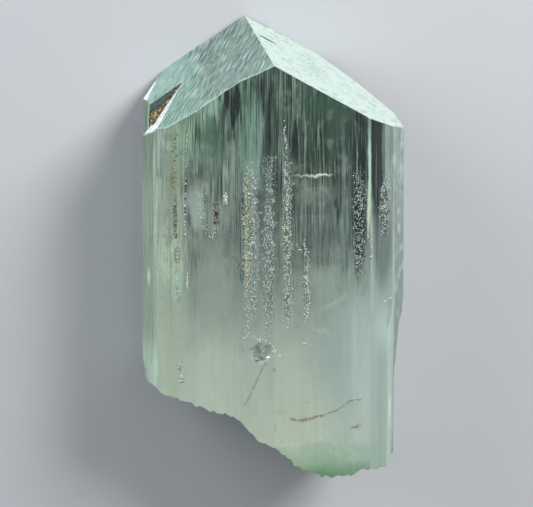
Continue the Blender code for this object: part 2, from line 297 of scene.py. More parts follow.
def cap_triangles(ring, step, lines):
    """Triangles that fill a ring, and the points they add inside it."""
    spots = cap_points(ring, step, lines)
    kept = [spot for spot in spots if inside(ring, spot[0], spot[1], 0.35 * step)]
    flat = [Vector(point) for point in ring] + [Vector(spot) for spot in kept]
    rim = [(at, (at + 1) % len(ring)) for at in range(len(ring))]
    made = delaunay_2d_cdt(flat, rim, [], 1, 1e-7)
    if len(made[0]) != len(flat):
        raise RuntimeError("the cap's rim crosses itself")
    return kept, [tuple(face) for face in made[2]]


def crease_lines():
    """The ridge and the two lines where a bevel meets the left roof face."""
    lines = [(lambda z: 0.0, 0.3, THICKNESS - 0.2)]
    for bevel, lift, low, high in ((BEVEL_FRONT, 0.0, BACK_FRONT + SEAM, 15.6),
                                   (BEVEL_BACK, SUTURE_STEP, 0.2, BACK_FRONT)):
        across, rise, (x0, y0, z0) = bevel

        def where(z, across=across, rise=rise, x0=x0, y0=y0, z0=z0, lift=lift):
            left = lift + RIDGE_FALL * (THICKNESS - z)
            return (left - y0 + across * x0 - rise * (z - z0)) / (across - LEFT_FALL)

        lines.append((where, low, high))
    return lines


def roof_etch(x, z, size):
    """Fine etched relief of the roof faces."""
    if x > 0.0:
        return size * 0.5 * wave(1.2, x + 0.8 * z, (z - 0.8 * x) * 0.25, 1.0)
    along, across = 0.737 * x - 0.676 * z, 0.676 * x + 0.737 * z
    return size * wave(0.8, across, along * 0.2, 8.0)


def roof_finish(corners):
    """Which finish a triangle of the roof has."""
    a, b, c = (Vector(corner) for corner in corners)
    facing = (b - a).cross(c - a).normalized()
    middle = (a + b + c) / 3.0
    if abs(facing.z) > 0.7 and middle.x < NOTCH_END:
        return "notch"
    if middle.x > 0.0:
        return "roof right"
    behind = middle.z < BACK_FRONT
    left = LEFT_FALL * middle.x + RIDGE_FALL * (THICKNESS - middle.z)
    bevel = plane_height(BEVEL_BACK if behind else BEVEL_FRONT, middle.x, middle.z)
    return "roof bevel" if bevel < left + (SUTURE_STEP if behind else 0.0) else "roof left"


def wall_points(columns, size):
    """Points of the prism's walls, column after column, each from the base to the roof."""
    points = []
    for x, z, out_x, out_z, kind, run in columns:
        heights = row_heights(break_height(x, z), float(roof_height(x, z)))
        for at, y in enumerate(heights):
            out = growth_relief(kind, run, x, y, size)
            if kind == FRONT:
                out -= pit_depth(x, y)
            px, pz = x - step_in(x, y) + out_x * out, z + out_z * out
            if at == 0:
                y = break_height(px, pz)
            if at == len(heights) - 1:
                y = float(roof_height(px, pz))
            points.append((px, y, pz))
    return points


def close_end(points, ring, top, step, etching):
    """The faces that close the roof or the base, and their finishes. Adds their points."""
    rim = np.array([(points[index][0], points[index][2]) for index in ring])
    spots, triangles = cap_triangles(rim, step, crease_lines() if top else [])
    start = len(points)
    for x, z in spots:
        roof = float(roof_height(x, z)) + roof_etch(x, z, etching)
        points.append((x, roof if top else break_height(x, z), z))
    place = ring + list(range(start, len(points)))
    faces, finishes = [], []
    for face in triangles:
        a, b, c = (place[corner] for corner in face)
        faces.append((a, c, b) if top else (a, b, c))
        at_rim = max(face) >= len(ring) > min(face)
        if not top:
            finishes.append("broken")
        elif at_rim and points[a][2] > FRONT_BACK:
            finishes.append("roof edge")
        else:
            finishes.append(roof_finish([points[index] for index in (a, b, c)]))
    return faces, finishes


def crystal_mesh(sizes):
    """The whole surface of the crystal: striated walls, etched roof, broken base."""
    columns = outline_points(in_mm(sizes.column_step))
    points = wall_points(columns, in_mm(sizes.growth_relief))
    faces, finishes = [], []
    count = len(columns)
    rows = len(points) // count
    for column in range(count):
        after = (column + 1) % count
        kind = columns[column][4]
        seen = "front" if kind in (BEVEL, FRONT) else "side" if kind == SIDE else "hidden"
        for at in range(rows - 1):
            a, b = column * rows + at, after * rows + at
            faces.append((a, b, b + 1, a + 1))
            finishes.append(seen)
    for at, top in ((rows - 1, True), (0, False)):
        ring = [column * rows + at for column in range(count)]
        made, their_finishes = close_end(points, ring, top, in_mm(sizes.cap_step),
                                         in_mm(sizes.roof_relief))
        faces += made
        finishes += their_finishes
    return points, faces, finishes


def add_piece(name, points, faces, material, sharp=None):
    """A mesh object in metres, at its place in the frame, that rides on the root body.

    With an angle in degrees for sharp, it is shaded smooth across flatter edges than that.
    """
    mesh = bpy.data.meshes.new(name)
    shift = crystal_offset()
    mesh.from_pydata([tuple((np.array(point) + shift) * MM) for point in points], [], faces)
    mesh.materials.append(material)
    mesh.validate()
    piece = bpy.data.objects.new(name, mesh)
    bpy.context.scene.collection.objects.link(piece)
    if sharp is not None:
        mesh.shade_smooth()
        mesh.set_sharp_from_angle(angle=math.radians(sharp))
    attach(piece, "root")
    return piece


def give_faces(piece, name, numbers):
    """Store a number on each face, for the piece's material."""
    if len(piece.data.polygons) != len(numbers):
        raise RuntimeError(f"{piece.name} lost faces")
    layer = piece.data.attributes.new(name, "FLOAT", "FACE")
    layer.data.foreach_set("value", [float(number) for number in numbers])


# ---------------------------------------------------------------- inclusions and matrix

# Tints of the small things on the front face. Each face carries its tint as a number.
TINTS = ("white", "cream", "grey", "dark", "olive", "rust")
TINT_COLOURS = ("#F6FFFA", "#E8E0B4", "#C2D4C8", "#26332D", "#95976A", "#8A7A56")

# Trails of healed growth tubes, specks and iron stain on the front face: points along the
# trail, half width, pieces for each millimetre, length of a piece, the angles it lies at,
# and the tints.
TRAILS = (
    # cream column
    (((-5.1, -19.8), (-5.4, -26.6), (-5.6, -29.8), (-5.3, -34.6), (-5.4, -37.9), (-5.1, -40.6),
      (-5.3, -44.7), (-4.7, -50.3), (-5.4, -53.1)), 0.45, 9.0, 0.26, (20, 160),
     ("cream", "cream", "white", "grey")),
    # cream column's top
    (((-5.1, -19.0), (-2.6, -19.4)), 0.6, 4.0, 0.25, (0, 180), ("white", "cream")),
    # grey column's long tubes
    (((-4.0, -20.2), (-4.2, -34.6), (-4.2, -42.6), (-3.8, -50.2)), 0.7, 3.5, 0.5, (-8, 8),
     ("grey", "grey", "white")),
    # middle column's top
    (((-2.5, -19.0), (0.3, -18.2)), 0.6, 5.0, 0.25, (0, 180), ("white", "cream")),
    # middle column
    (((-0.8, -17.8), (-0.6, -22.6), (-1.0, -27.6), (-1.4, -32.6), (-1.0, -38.6),
      (-1.2, -44.6), (-0.8, -50.6), (-1.2, -54.0)), 0.95, 13.0, 0.2, (0, 180),
     ("white", "grey", "grey")),
    # bright thread above the right column
    (((1.9, -11.1), (2.3, -16.8), (2.1, -19.9), (2.1, -24.7)), 0.22, 7.0, 0.28, (0, 180),
     ("white", "white", "grey")),
    # right column
    (((2.5, -24.0), (2.7, -27.8), (3.1, -32.8), (2.9, -37.6), (2.3, -39.2), (2.9, -44.8),
      (3.3, -48.8), (2.9, -52.8)), 0.75, 13.0, 0.22, (0, 180), ("white", "cream", "grey")),
    # far right column
    (((5.8, -35.4), (6.8, -38.6), (6.4, -43.0), (7.0, -47.1), (6.2, -51.4)), 0.4, 8.0, 0.28,
     (0, 180), ("cream", "white", "grey")),
    # dark window's tubes
    (((16.5, -21.8), (17.5, -25.7), (17.3, -30.7), (17.1, -34.7), (17.5, -39.7),
      (17.9, -42.2)), 1.0, 7.0, 0.22, (0, 180), ("white", "white", "grey")),
    # bevel's tubes
    (((23.1, -24.0), (23.3, -27.5), (22.6, -30.8), (22.9, -34.0), (22.4, -35.5)), 0.8, 6.0,
     0.22, (0, 180), ("white", "white", "grey")),
    # edge rib's cream side
    (((18.6, -25.0), (18.9, -35.0)), 0.2, 8.0, 0.3, (-30, 30), ("cream",)),
    # edge rib's foot
    (((18.9, -35.0), (19.8, -37.1), (19.6, -40.0)), 0.3, 10.0, 0.3, (0, 180),
     ("cream", "grey", "dark")),
    # left thread, top
    (((-16.8, -11.6), (-17.2, -16.0), (-17.2, -20.0)), 0.1, 1.6, 0.3, (80, 100), ("white", "grey")),
    # left thread, middle
    (((-17.2, -21.6), (-17.4, -27.0), (-17.4, -33.2)), 0.1, 3.0, 0.4, (80, 100),
     ("white", "dark", "dark")),
    # left thread, foot
    (((-17.0, -40.5), (-17.0, -44.5)), 0.12, 3.0, 0.4, (80, 100), ("white", "grey")),
    # olive column, top
    (((-19.4, -12.3), (-19.4, -23.5)), 0.4, 7.0, 0.5, (-8, 8), ("olive", "dark", "olive")),
    # olive column, middle
    (((-19.4, -25.9), (-19.2, -30.4), (-19.0, -33.6)), 0.3, 4.0, 0.45, (20, 160),
     ("dark", "dark", "grey")),
    # olive column, foot
    (((-19.0, -34.0), (-18.8, -39.2), (-18.6, -46.0)), 0.4, 2.5, 0.45, (-6, 6),
     ("grey", "olive")),
    # swirl
    (((-14.1, -24.9), (-14.7, -27.7), (-13.9, -31.0), (-12.2, -33.7), (-11.0, -32.0)), 0.7,
     9.0, 0.24, (0, 180), ("white", "grey", "grey")),
    # swirl's dark middle
    (((-11.4, -26.9), (-11.2, -31.5)), 0.5, 9.0, 0.5, (80, 100), ("dark", "olive", "dark")),
    # swirl's glint
    (((-9.3, -25.0), (-9.0, -27.3)), 0.3, 9.0, 0.35, (60, 120), ("white",)),
    # specks beside the far right column
    (((4.3, -36.1), (6.2, -38.2)), 0.3, 6.0, 0.25, (0, 180), ("white",)),
    # arc over the pit
    (((-5.8, -55.9), (-5.8, -54.3), (-4.5, -53.5), (-3.1, -54.8), (-1.9, -54.6),
      (-0.8, -55.4), (0.4, -57.2)), 0.3, 6.0, 0.28, (0, 180), ("white", "white", "cream")),
    # tail right of the pit
    (((-0.5, -57.0), (1.1, -57.9)), 0.12, 6.0, 0.3, (-20, 20), ("white", "cream")),
    # low left tubes
    (((-18.4, -58.4), (-18.2, -60.8), (-18.0, -62.8)), 0.4, 9.0, 0.3, (0, 180),
     ("dark", "white", "grey")),
    # pit
    (((-3.2, -56.2), (-1.7, -57.8)), 0.9, 14.0, 0.26, (0, 180), ("dark", "grey", "cream")),
    # specks right of the pit
    (((5.6, -55.6), (7.5, -56.2)), 0.15, 5.0, 0.35, (-25, 25), ("cream", "grey")),
    # specks on the bevel
    (((22.8, -48.6), (24.4, -48.3)), 0.15, 5.0, 0.35, (-15, 15), ("white", "cream")),
    # dark speck
    (((-0.2, -60.4), (0.3, -60.6)), 0.15, 8.0, 0.3, (0, 180), ("dark",)),
    # thread below the pit
    (((-1.6, -59.0), (-2.5, -60.8), (-3.6, -63.6), (-4.7, -66.1), (-5.6, -67.9)), 0.07, 9.0,
     0.3, (55, 75), ("olive",)),
    # iron stain, left
    (((3.1, -70.6), (6.0, -71.2), (8.0, -70.7), (9.6, -70.4)), 0.22, 12.0, 0.35, (-15, 15),
     ("olive", "rust")),
    # iron stain, thin right end
    (((9.6, -70.4), (12.9, -69.4), (15.7, -67.6), (17.7, -67.8)), 0.07, 7.0, 0.4, (5, 35),
     ("olive",)),
    # iron stain, right
    (((15.3, -73.4), (17.7, -73.0)), 0.25, 7.0, 0.3, (-20, 40), ("olive", "rust")),
    # iron stain, upper
    (((5.6, -67.4), (7.4, -67.6)), 0.2, 4.0, 0.25, (0, 40), ("olive",)),
    # loose specks at the base
    (((0.1, -71.8), (4.5, -75.5)), 1.2, 1.0, 0.25, (0, 180), ("dark", "olive")),
)
FLAKE_THICK = 0.05


def flake(rng, centre, length, turn, outward):
    """One flattened, pointed flake, as six points and eight faces."""
    tilt = rng.uniform(-0.3, 0.3)
    side = Vector((math.cos(turn), math.sin(turn), tilt)).normalized()
    across = outward.cross(side).normalized()
    long_half = 0.5 * length * rng.uniform(0.6, 1.4)
    wide_half = long_half * rng.uniform(0.3, 0.6)
    points = [centre + side * long_half, centre - side * long_half,
              centre + across * wide_half, centre - across * wide_half,
              centre + outward * FLAKE_THICK, centre - outward * FLAKE_THICK]
    faces = [(0, 2, 4), (2, 1, 4), (1, 3, 4), (3, 0, 4),
             (2, 0, 5), (1, 2, 5), (3, 1, 5), (0, 3, 5)]
    return points, faces


def flakes_mesh(density):
    """All the flakes of the trails, just breaking the surface of the front face."""
    rng = random.Random(21)
    points, faces, tints = [], [], []
    for route, half, crowd, length, (lie_from, lie_to), names in TRAILS:
        for (x0, y0), (x1, y1) in zip(route, route[1:]):
            for _ in range(round(math.hypot(x1 - x0, y1 - y0) * crowd * density)):
                share = rng.random()
                x = x0 + (x1 - x0) * share + half * max(-1.3, min(1.3, rng.gauss(0.0, 0.6)))
                y = y0 + (y1 - y0) * share + half * max(-1.3, min(1.3, rng.gauss(0.0, 0.6)))
                slope = (front_height(x + 0.2) - front_height(x - 0.2)) / 0.4
                outward = Vector((-slope, 0.0, 1.0)).normalized()
                floor = Vector((x, y, front_height(x) - pit_depth(x, y)))
                centre = floor + outward * rng.uniform(0.02, 0.08)
                turn = math.radians(rng.uniform(lie_from, lie_to))
                made, around = flake(rng, centre, length, turn, outward)
                faces += [tuple(len(points) + corner for corner in face) for face in around]
                points += made
                tints += [TINTS.index(rng.choice(names))] * len(around)
    return points, faces, tints


# The healed fracture inside the crystal: x from and to, y, depths behind the front face.
FRACTURE = (2.6, 14.6, -21.6, 0.5, 4.2)
FRACTURE_THICK = 0.1
FRACTURE_CELL = 0.3


def fracture_mesh():
    """A thin closed sheet, wavy and ragged, nearly square to the crystal's length."""
    x_from, x_to, level, near, far = FRACTURE
    across = round((x_to - x_from) / FRACTURE_CELL)
    deep = round((far - near) / FRACTURE_CELL)
    points, faces = [], []
    for side in (0.5, -0.5):
        for row in range(deep + 1):
            for column in range(across + 1):
                share = row / deep
                x = x_from + (x_to - x_from) * column / across
                ragged = 0.35 * wave(1.3, x, 3.0, 0.0) if row == deep else 0.0
                z = front_height(x) - near - (far - near) * (share + ragged)
                y = level + 0.2 * wave(4.0, x, z, 1.0) + 0.03 * wave(0.7, x, z, 4.0)
                points.append((x, y + side * FRACTURE_THICK, z))
    layer = (across + 1) * (deep + 1)
    for row in range(deep):
        for column in range(across):
            a = row * (across + 1) + column
            b, c, d = a + 1, a + across + 2, a + across + 1
            faces.append((a, b, c, d))
            faces.append((layer + d, layer + c, layer + b, layer + a))
    rim = list(range(across + 1))
    rim += [(row + 1) * (across + 1) + across for row in range(deep)]
    rim += [deep * (across + 1) + column for column in range(across - 1, -1, -1)]
    rim += [row * (across + 1) for row in range(deep - 1, 0, -1)]
    for a, b in zip(rim, rim[1:] + rim[:1]):
        faces.append((a, layer + a, layer + b, b))
    return points, faces


def grain(rng, centre, size, points, faces):
    """One angular grain: a rough, squashed ball of twelve points."""
    golden = (1.0 + math.sqrt(5.0)) / 2.0
    corners = [Vector(corner).normalized() for corner in (
        (-1, golden, 0), (1, golden, 0), (-1, -golden, 0), (1, -golden, 0),
        (0, -1, golden), (0, 1, golden), (0, -1, -golden), (0, 1, -golden),
        (golden, 0, -1), (golden, 0, 1), (-golden, 0, -1), (-golden, 0, 1))]
    around = ((0, 11, 5), (0, 5, 1), (0, 1, 7), (0, 7, 10), (0, 10, 11), (1, 5, 9),
              (5, 11, 4), (11, 10, 2), (10, 7, 6), (7, 1, 8), (3, 9, 4), (3, 4, 2),
              (3, 2, 6), (3, 6, 8), (3, 8, 9), (4, 9, 5), (2, 4, 11), (6, 2, 10),
              (8, 6, 7), (9, 8, 1))
    stretch = [size * rng.uniform(0.6, 1.3) for _ in range(3)]
    start = len(points)
    for corner in corners:
        swell = rng.uniform(0.75, 1.2)
        points.append(centre + Vector([swell * s * c for s, c in zip(stretch, corner)]))
    faces += [tuple(start + corner for corner in face) for face in around]


UP_WALL = Vector((0.0, 1.0, 0.0))
UP_BEVEL = Vector((0.0, BEVEL_FRONT[1], 1.0)).normalized()


def crumb_corner(x):
    """Where the wall of the notch meets the front bevel."""
    fall_across, rise_up, (x0, y0, z0) = BEVEL_FRONT
    corner_y = y0 + fall_across * (x - x0) + rise_up * (BACK_FRONT - z0)
    return Vector((x, corner_y, BACK_FRONT))


def crumb_spot(x, turn):
    """A place on the crumb seen from its corner, from the wall (0) to the bevel (1)."""
    tall = float(np.interp(x, *zip(*CRUMB_HEIGHTS)))
    arch = 4.0 * turn * (1.0 - turn)
    return (UP_WALL * (1.0 - turn) + UP_BEVEL * turn * 0.8) * tall, arch


def crumb_mesh(grains):
    """Matrix that fills the notch's corner: a lumpy bar, grains on it, and a stained seam."""
    rng = random.Random(8)
    first, last = CRUMB_HEIGHTS[0][0], CRUMB_HEIGHTS[-1][0]
    points, faces = [], []
    for station in range(CRUMB_STATIONS):
        x = first + (last - first) * station / (CRUMB_STATIONS - 1)
        corner = crumb_corner(x) + (UP_WALL + UP_BEVEL) * 0.1
        points.append(corner)
        for side in range(CRUMB_SIDES):
            turn = side / (CRUMB_SIDES - 1)
            spot, arch = crumb_spot(x, turn)
            lumps = 0.35 * wave(0.8, x, turn * 3.0, 5.0) + 0.2 * wave(0.3, x, turn * 4.0, 2.0)
            points.append(corner + spot * (1.0 + arch * (0.35 + lumps)))
    ring = CRUMB_SIDES + 1
    for station in range(CRUMB_STATIONS - 1):
        for side in range(ring):
            after = (side + 1) % ring
            a, b = station * ring + side, station * ring + after
            faces.append((a, b, b + ring, a + ring))
    faces.append(tuple(range(ring))[::-1])
    faces.append(tuple((CRUMB_STATIONS - 1) * ring + side for side in range(ring)))
    for _ in range(grains):
        x = rng.uniform(first + 0.2, last)
        spot, arch = crumb_spot(x, rng.uniform(0.1, 0.9))
        centre = crumb_corner(x) + spot * (1.0 + 0.3 * arch) * rng.uniform(0.7, 0.95)
        grain(rng, centre, rng.uniform(0.1, 0.26), points, faces)
    for _ in range(grains // 2):
        x = rng.uniform(*SEAM_STAIN)
        z = BACK_FRONT + rng.uniform(-0.12, 0.12)
        centre = Vector((x, float(roof_height(x, z)) - 0.02, z))
        grain(rng, centre, rng.uniform(0.05, 0.12), points, faces)
    return points, faces


# ---------------------------------------------------------------- materials

def linear(hex_colour):
    """An sRGB hex colour as linear red, green, blue and alpha."""
    parts = [int(hex_colour[at:at + 2], 16) / 255.0 for at in (1, 3, 5)]
    return [p / 12.92 if p <= 0.04045 else ((p + 0.055) / 1.055) ** 2.4 for p in parts] + [1.0]


def add_node(tree, kind, settings):
    """One node. A setting is a property, a socket's value, a link or a ramp's stops."""
    node = tree.nodes.new(kind)
    for name, value in settings.items():
        if isinstance(value, bpy.types.NodeSocket):
            tree.links.new(value, node.inputs[name])
        elif name == "stops":
            elements = node.color_ramp.elements
            while len(elements) < len(value):
                elements.new(0.5)
            for element, (position, colour) in zip(elements, value):
                element.position = position
                element.color = colour
        elif isinstance(name, str) and hasattr(node, name):
            setattr(node, name, value)
        else:
            node.inputs[name].default_value = value
    return node


def new_material(name):
    """An empty node material and its tree."""
    material = bpy.data.materials.new(name)
    material.use_nodes = True
    material.node_tree.nodes.clear()
    return material, material.node_tree


def crystal_place(tree):
    """The point's place in the crystal's own frame, in millimetres."""
    coordinates = add_node(tree, "ShaderNodeTexCoord", {})
    return add_node(tree, "ShaderNodeVectorMath", {
        "operation": "MULTIPLY_ADD", 0: coordinates.outputs["Object"],
        1: (1.0 / MM, 1.0 / MM, 1.0 / MM),
        2: tuple(-part for part in crystal_offset())}).outputs["Vector"]


def drawn_out(tree, place, size):
    """A place divided by the given millimetres along each axis."""
    return add_node(tree, "ShaderNodeMapping", {
        "Vector": place, "Scale": tuple(1.0 / part for part in size)}).outputs["Vector"]


def streaks(tree, place, size, detail=2.0):
    """Noise drawn out to the given millimetres along each axis."""
    return add_node(tree, "ShaderNodeTexNoise", {
        "Vector": drawn_out(tree, place, size), "Scale": 1.0, "Detail": detail}).outputs["Fac"]


def between(tree, value, low, high, start=0.0, end=1.0):
    """A smooth step of a value from one level to another."""
    return add_node(tree, "ShaderNodeMapRange", {
        "interpolation_type": "SMOOTHSTEP", "Value": value, "From Min": low,
        "From Max": high, "To Min": start, "To Max": end}).outputs["Result"]


def turned(tree, place, *directions):
    """A place measured along the given directions."""
    parts = [add_node(tree, "ShaderNodeVectorMath", {
        "operation": "DOT_PRODUCT", 0: place, 1: direction}).outputs["Value"]
        for direction in directions]
    return add_node(tree, "ShaderNodeCombineXYZ", dict(zip("XYZ", parts))).outputs["Vector"]


def patch(tree, place, centre, half, turn, soft, strength=1.0):
    """A mask that is strong in an oval on the crystal's front and 0 outside."""
    (x, y), (wide, tall) = centre, half
    across, up = math.cos(math.radians(turn)), math.sin(math.radians(turn))
    if turn:
        place = turned(tree, place, (across, up, 0.0), (-up, across, 0.0))
    local = add_node(tree, "ShaderNodeVectorMath", {
        "operation": "MULTIPLY_ADD", 0: place, 1: (1.0 / wide, 1.0 / tall, 0.0),
        2: (-(x * across + y * up) / wide, (x * up - y * across) / tall, 0.0)}).outputs["Vector"]
    away = add_node(tree, "ShaderNodeVectorMath", {
        "operation": "LENGTH", 0: local}).outputs["Value"]
    return between(tree, away, 1.0 - soft, 1.0, strength, 0.0)


def ragged(tree, place, amount, size):
    """A place moved about by noise, so that what is drawn on it has a ragged edge."""
    shake = add_node(tree, "ShaderNodeTexNoise", {
        "normalize": False, "Vector": drawn_out(tree, place, size), "Scale": 1.0,
        "Detail": 2.0}).outputs["Fac"]
    shift = add_node(tree, "ShaderNodeVectorMath", {
        "operation": "SCALE", 0: amount, "Scale": shake}).outputs["Vector"]
    return add_node(tree, "ShaderNodeVectorMath", {
        "operation": "ADD", 0: place, 1: shift}).outputs["Vector"]


def lay_over(tree, mask, under, over):
    """One look over another where the mask says. A look has any of the four parts."""
    mixed = dict(under)
    for part, value in over.items():
        kind, first, last = ("RGBA", 6, 2) if part == "colour" else ("FLOAT", 2, 0)
        mixed[part] = add_node(tree, "ShaderNodeMix", {
            "data_type": kind, 0: mask, first: under[part], first + 1: value}).outputs[last]
    return mixed


def lay_tones(tree, look, *tones, within=None):
    """A look with tones over it, each where its noise passes from one level to another.

    A tone is the noise, both levels, strength, colour and, where it changes that as well,
    the share of clear glass.
    """
    for noise, low, high, strength, colour, *clear in tones:
        mask = between(tree, noise, low, high, 0.0, strength)
        if within is not None:
            mask = faded(tree, within, mask)
        over = {"colour": linear(colour), **dict(zip(["clear"], clear))}
        look = lay_over(tree, mask, look, over)
    return look


def carries(tree, name, number):
    """A mask of the faces that carry a number under a name."""
    carried = add_node(tree, "ShaderNodeAttribute", {"attribute_name": name}).outputs["Fac"]
    return add_node(tree, "ShaderNodeMath", {
        "operation": "COMPARE", 0: carried, 1: float(number), 2: 0.5}).outputs["Value"]


def faded(tree, pattern, mask):
    """A pattern or a mask that fades where another mask does."""
    return add_node(tree, "ShaderNodeMath", {
        "operation": "MULTIPLY", 0: pattern, 1: mask}).outputs["Value"]


SPODUMENE_IOR = 1.66
ABSORPTION = (0.30, 0.64, 0.48, 1.0)    # what stays of white light, by colour
ABSORPTION_DENSITY = 70.0               # for each metre

# Zones along the crystal, from its base to its roof: y, colour, share of clear glass.
ZONES = (
    (-83.0, "#7FB488", 0.45), (-80.0, "#B6D6B3", 0.38), (-75.7, "#C8DFC3", 0.34),
    (-75.1, "#D8E7CE", 0.32), (-58.0, "#D4E2D0", 0.38), (-46.0, "#BDD0C0", 0.55),
    (-34.0, "#B4CBBE", 0.72), (-24.0, "#B2C8BC", 0.88), (2.0, "#A6D8BA", 0.90),
)

# What lies in the crystal under its striations: clear dark windows, coloured parts, and
# painted dark reflections at the right edge and under the left roof.
# Name, x, y, half sizes, turn, softness, colour, share of clear glass, strength.
CLOUDS = (
    ("left side", -22.9, -40.0, 1.2, 90.0, 0, 0.2, "#A2B899", 0.28, 0.9),
    ("olive left part", -20.0, -40.0, 4.5, 40.0, 0, 0.6, "#C8DABD", 0.36, 0.8),
    ("pale top left", -20.8, -13.5, 2.6, 6.5, 0, 0.8, "#D2E8CC", 0.28, 0.7),
    ("pale left part", -20.0, -37.5, 3.6, 8.5, 0, 0.8, "#DAEDCE", 0.26, 0.7),
    ("olive column", -19.4, -19.0, 0.8, 10.0, 0, 0.4, "#9BA682", 0.30, 0.6),
    ("grey-green haze", -9.5, -21.5, 7.0, 7.5, 0, 0.9, "#B8CFBF", 0.42, 0.85),
    ("milk under the roof", -12.6, -8.2, 4.4, 4.6, -30, 0.8, "#BCE4C4", 0.36, 0.9),
    ("pale under the roof", -6.0, -4.0, 3.0, 3.0, 30, 0.9, "#A6D6B8", 0.45, 0.7),
    ("pale column", -4.7, -14.6, 2.9, 13.0, 0, 0.6, "#9CCBB2", 0.50, 0.85),
    ("upper left milk", -17.0, -13.0, 5.0, 9.0, 0, 0.7, "#B4D6B2", 0.38, 0.85),
    ("dark left window", -12.3, -15.5, 4.2, 6.5, 8, 0.6, "#B0E0C0", 0.78, 0.9),
    # Painted dark reflections: the two dark wedges under the left roof.
    ("painted dark reflection, wedge", -9.4, -8.0, 0.8, 3.2, -12, 0.5, "#4F6A5E", 0.95, 0.7),
    ("painted dark reflection, right wedge", -7.6, -8.6, 0.55, 3.0, 6, 0.35, "#4F6A5E", 0.95, 0.9),
    ("dark right window", 9.0, -15.5, 9.5, 9.0, 0, 0.7, "#86B096", 0.94, 0.9),
    ("dark under the roof", 12.5, -8.5, 9.0, 3.6, -31, 0.7, "#7AB894", 0.88, 0.85),
    # Painted dark reflection: the dark window down the right edge.
    ("painted dark reflection along the edge", 17.2, -24.0, 1.9, 22.0, 0, 0.45, "#51675D", 0.95, 0.85),
    ("pale bevel", 26.1, -44.0, 3.3, 90.0, 0, 0.3, "#5A6F63", 0.12, 0.95),
    ("blue-green right side", 15.5, -62.0, 9.0, 28.0, 0, 0.9, "#BFD8D0", 0.38, 0.7),
    ("paler towards the bevel", 18.0, -62.0, 4.5, 30.0, 0, 1.0, "#DCEDE4", 0.30, 0.5),
    ("bevel low down", 23.4, -62.0, 2.6, 50.0, 0, 0.3, "#94AFA2", 0.30, 0.85),
    # Painted dark reflection at the top of the dark window.
    ("painted dark reflection in the top corner", 16.7, -11.5, 1.1, 3.4, 0, 0.7, "#31463B", 0.95, 0.8),
    ("dark hook", 12.8, -28.5, 1.0, 3.4, 5, 0.6, "#5C776B", 0.95, 0.8),
    ("dark middle", 8.5, -35.5, 8.5, 6.5, 0, 1.0, "#ABC0B5", 0.80, 0.6),
)

# Milky veils that soften the striations, with the same values.
VEILS = (
    ("haze under the right roof", 8.3, -8.4, 6.5, 3.2, -31, 0.9, "#7AB894", 0.88, 0.6),
    ("dark cloud under the left roof", -12.2, -13.2, 4.2, 3.6, 0, 0.9, "#8CB89A", 0.80, 0.55),
    ("fracture's veil", 6.0, -23.6, 5.0, 1.6, 0, 0.9, "#A3AF9F", 0.50, 0.45),
    ("grey veil", 7.6, -26.5, 6.0, 2.7, 3, 1.0, "#9AA191", 0.40, 0.8),
    ("milk left of the swirl", -15.3, -28.0, 2.8, 10.5, 0, 0.9, "#BED2C2", 0.28, 0.8),
    ("milk below the roof", -11.4, -6.6, 1.8, 3.4, -10, 0.9, "#B0D6BC", 0.35, 0.6),
    ("grey next to the swirl", -7.6, -28.0, 1.8, 5.0, 0, 1.0, "#ABBAAB", 0.40, 0.6),
    ("swirl veil", -11.0, -29.5, 3.8, 5.4, 12, 0.9, "#AFBFAF", 0.36, 0.75),
    ("grey-beige milk", -11.5, -42.5, 6.5, 13.0, 0, 0.8, "#B4C2B2", 0.40, 0.7),
    ("pale foot of the column", -3.6, -21.0, 3.4, 7.5, 0, 0.9, "#AECABC", 0.42, 0.75),
    ("blue-grey milk", 11.5, -58.0, 9.0, 12.0, 0, 1.0, "#B4CCC6", 0.50, 0.4),
    ("wisps", 9.5, -43.5, 6.0, 4.5, 20, 1.0, "#BACDC2", 0.40, 0.6),
    ("inside the pit", -2.5, -57.0, 1.7, 1.6, 0, 0.3, "#93A99B", 0.35, 0.85),
    ("box near the tip", 20.5, -78.5, 1.3, 2.6, 0, 0.3, "#A9AE94", 0.30, 0.6),
)

# What has an even edge: parts of the bevel, one of them a painted dark reflection, wisps,
# the sides of boxes, and glints of cracks and by the swirl, which are painted highlights.
GLINTS = (
    ("bevel beside the crease", 21.0, -62.0, 1.58, 400.0, 0, 0.06, "#94AFA2", 0.30, 0.85),
    # Painted dark reflection where the dark window reaches the bevel.
    ("bevel's painted dark reflection", 22.4, -36.0, 3.1, 14.0, 0, 0.6, "#4C6257", 0.35, 0.9),
    ("milk on the bevel", 22.6, -54.0, 3.4, 7.0, 0, 1.0, "#D0E6DC", 0.20, 0.35),
    ("pale wisp", 12.0, -48.0, 4.6, 0.7, 24, 1.0, "#D9E8DF", 0.20, 0.25),
    ("pale wisp, lower", 9.5, -53.5, 4.0, 0.6, -18, 1.0, "#D9E8DF", 0.20, 0.25),
    ("pale box", -18.9, -43.0, 0.9, 3.2, 0, 0.25, "#B4DCCE", 0.25, 0.7),
    ("dark box", -18.9, -37.0, 0.8, 2.2, 0, 0.3, "#6E8A78", 0.40, 0.5),
    # Painted highlights where the healed fracture catches the light.
    ("fracture's painted highlight", 7.6, -22.3, 6.0, 0.4, -3, 1.0, "#E6E5D2", 0.10, 0.8),
    ("fracture's brightest painted highlight", 9.8, -22.2, 2.8, 0.34, -2, 1.0, "#FFFFF4", 0.05, 1.0),
    ("second edge", 8.6, -24.9, 5.2, 0.3, -1, 1.0, "#B1B8A4", 0.20, 0.3),
    ("veil's lower edge", 7.6, -30.3, 4.8, 0.25, 2, 1.0, "#B3BDAA", 0.20, 0.25),
    # Painted highlight by the swirl.
    ("painted highlight by the swirl", -9.3, -26.2, 0.5, 1.5, -15, 1.0, "#EFF6EE", 0.10, 0.8),
)
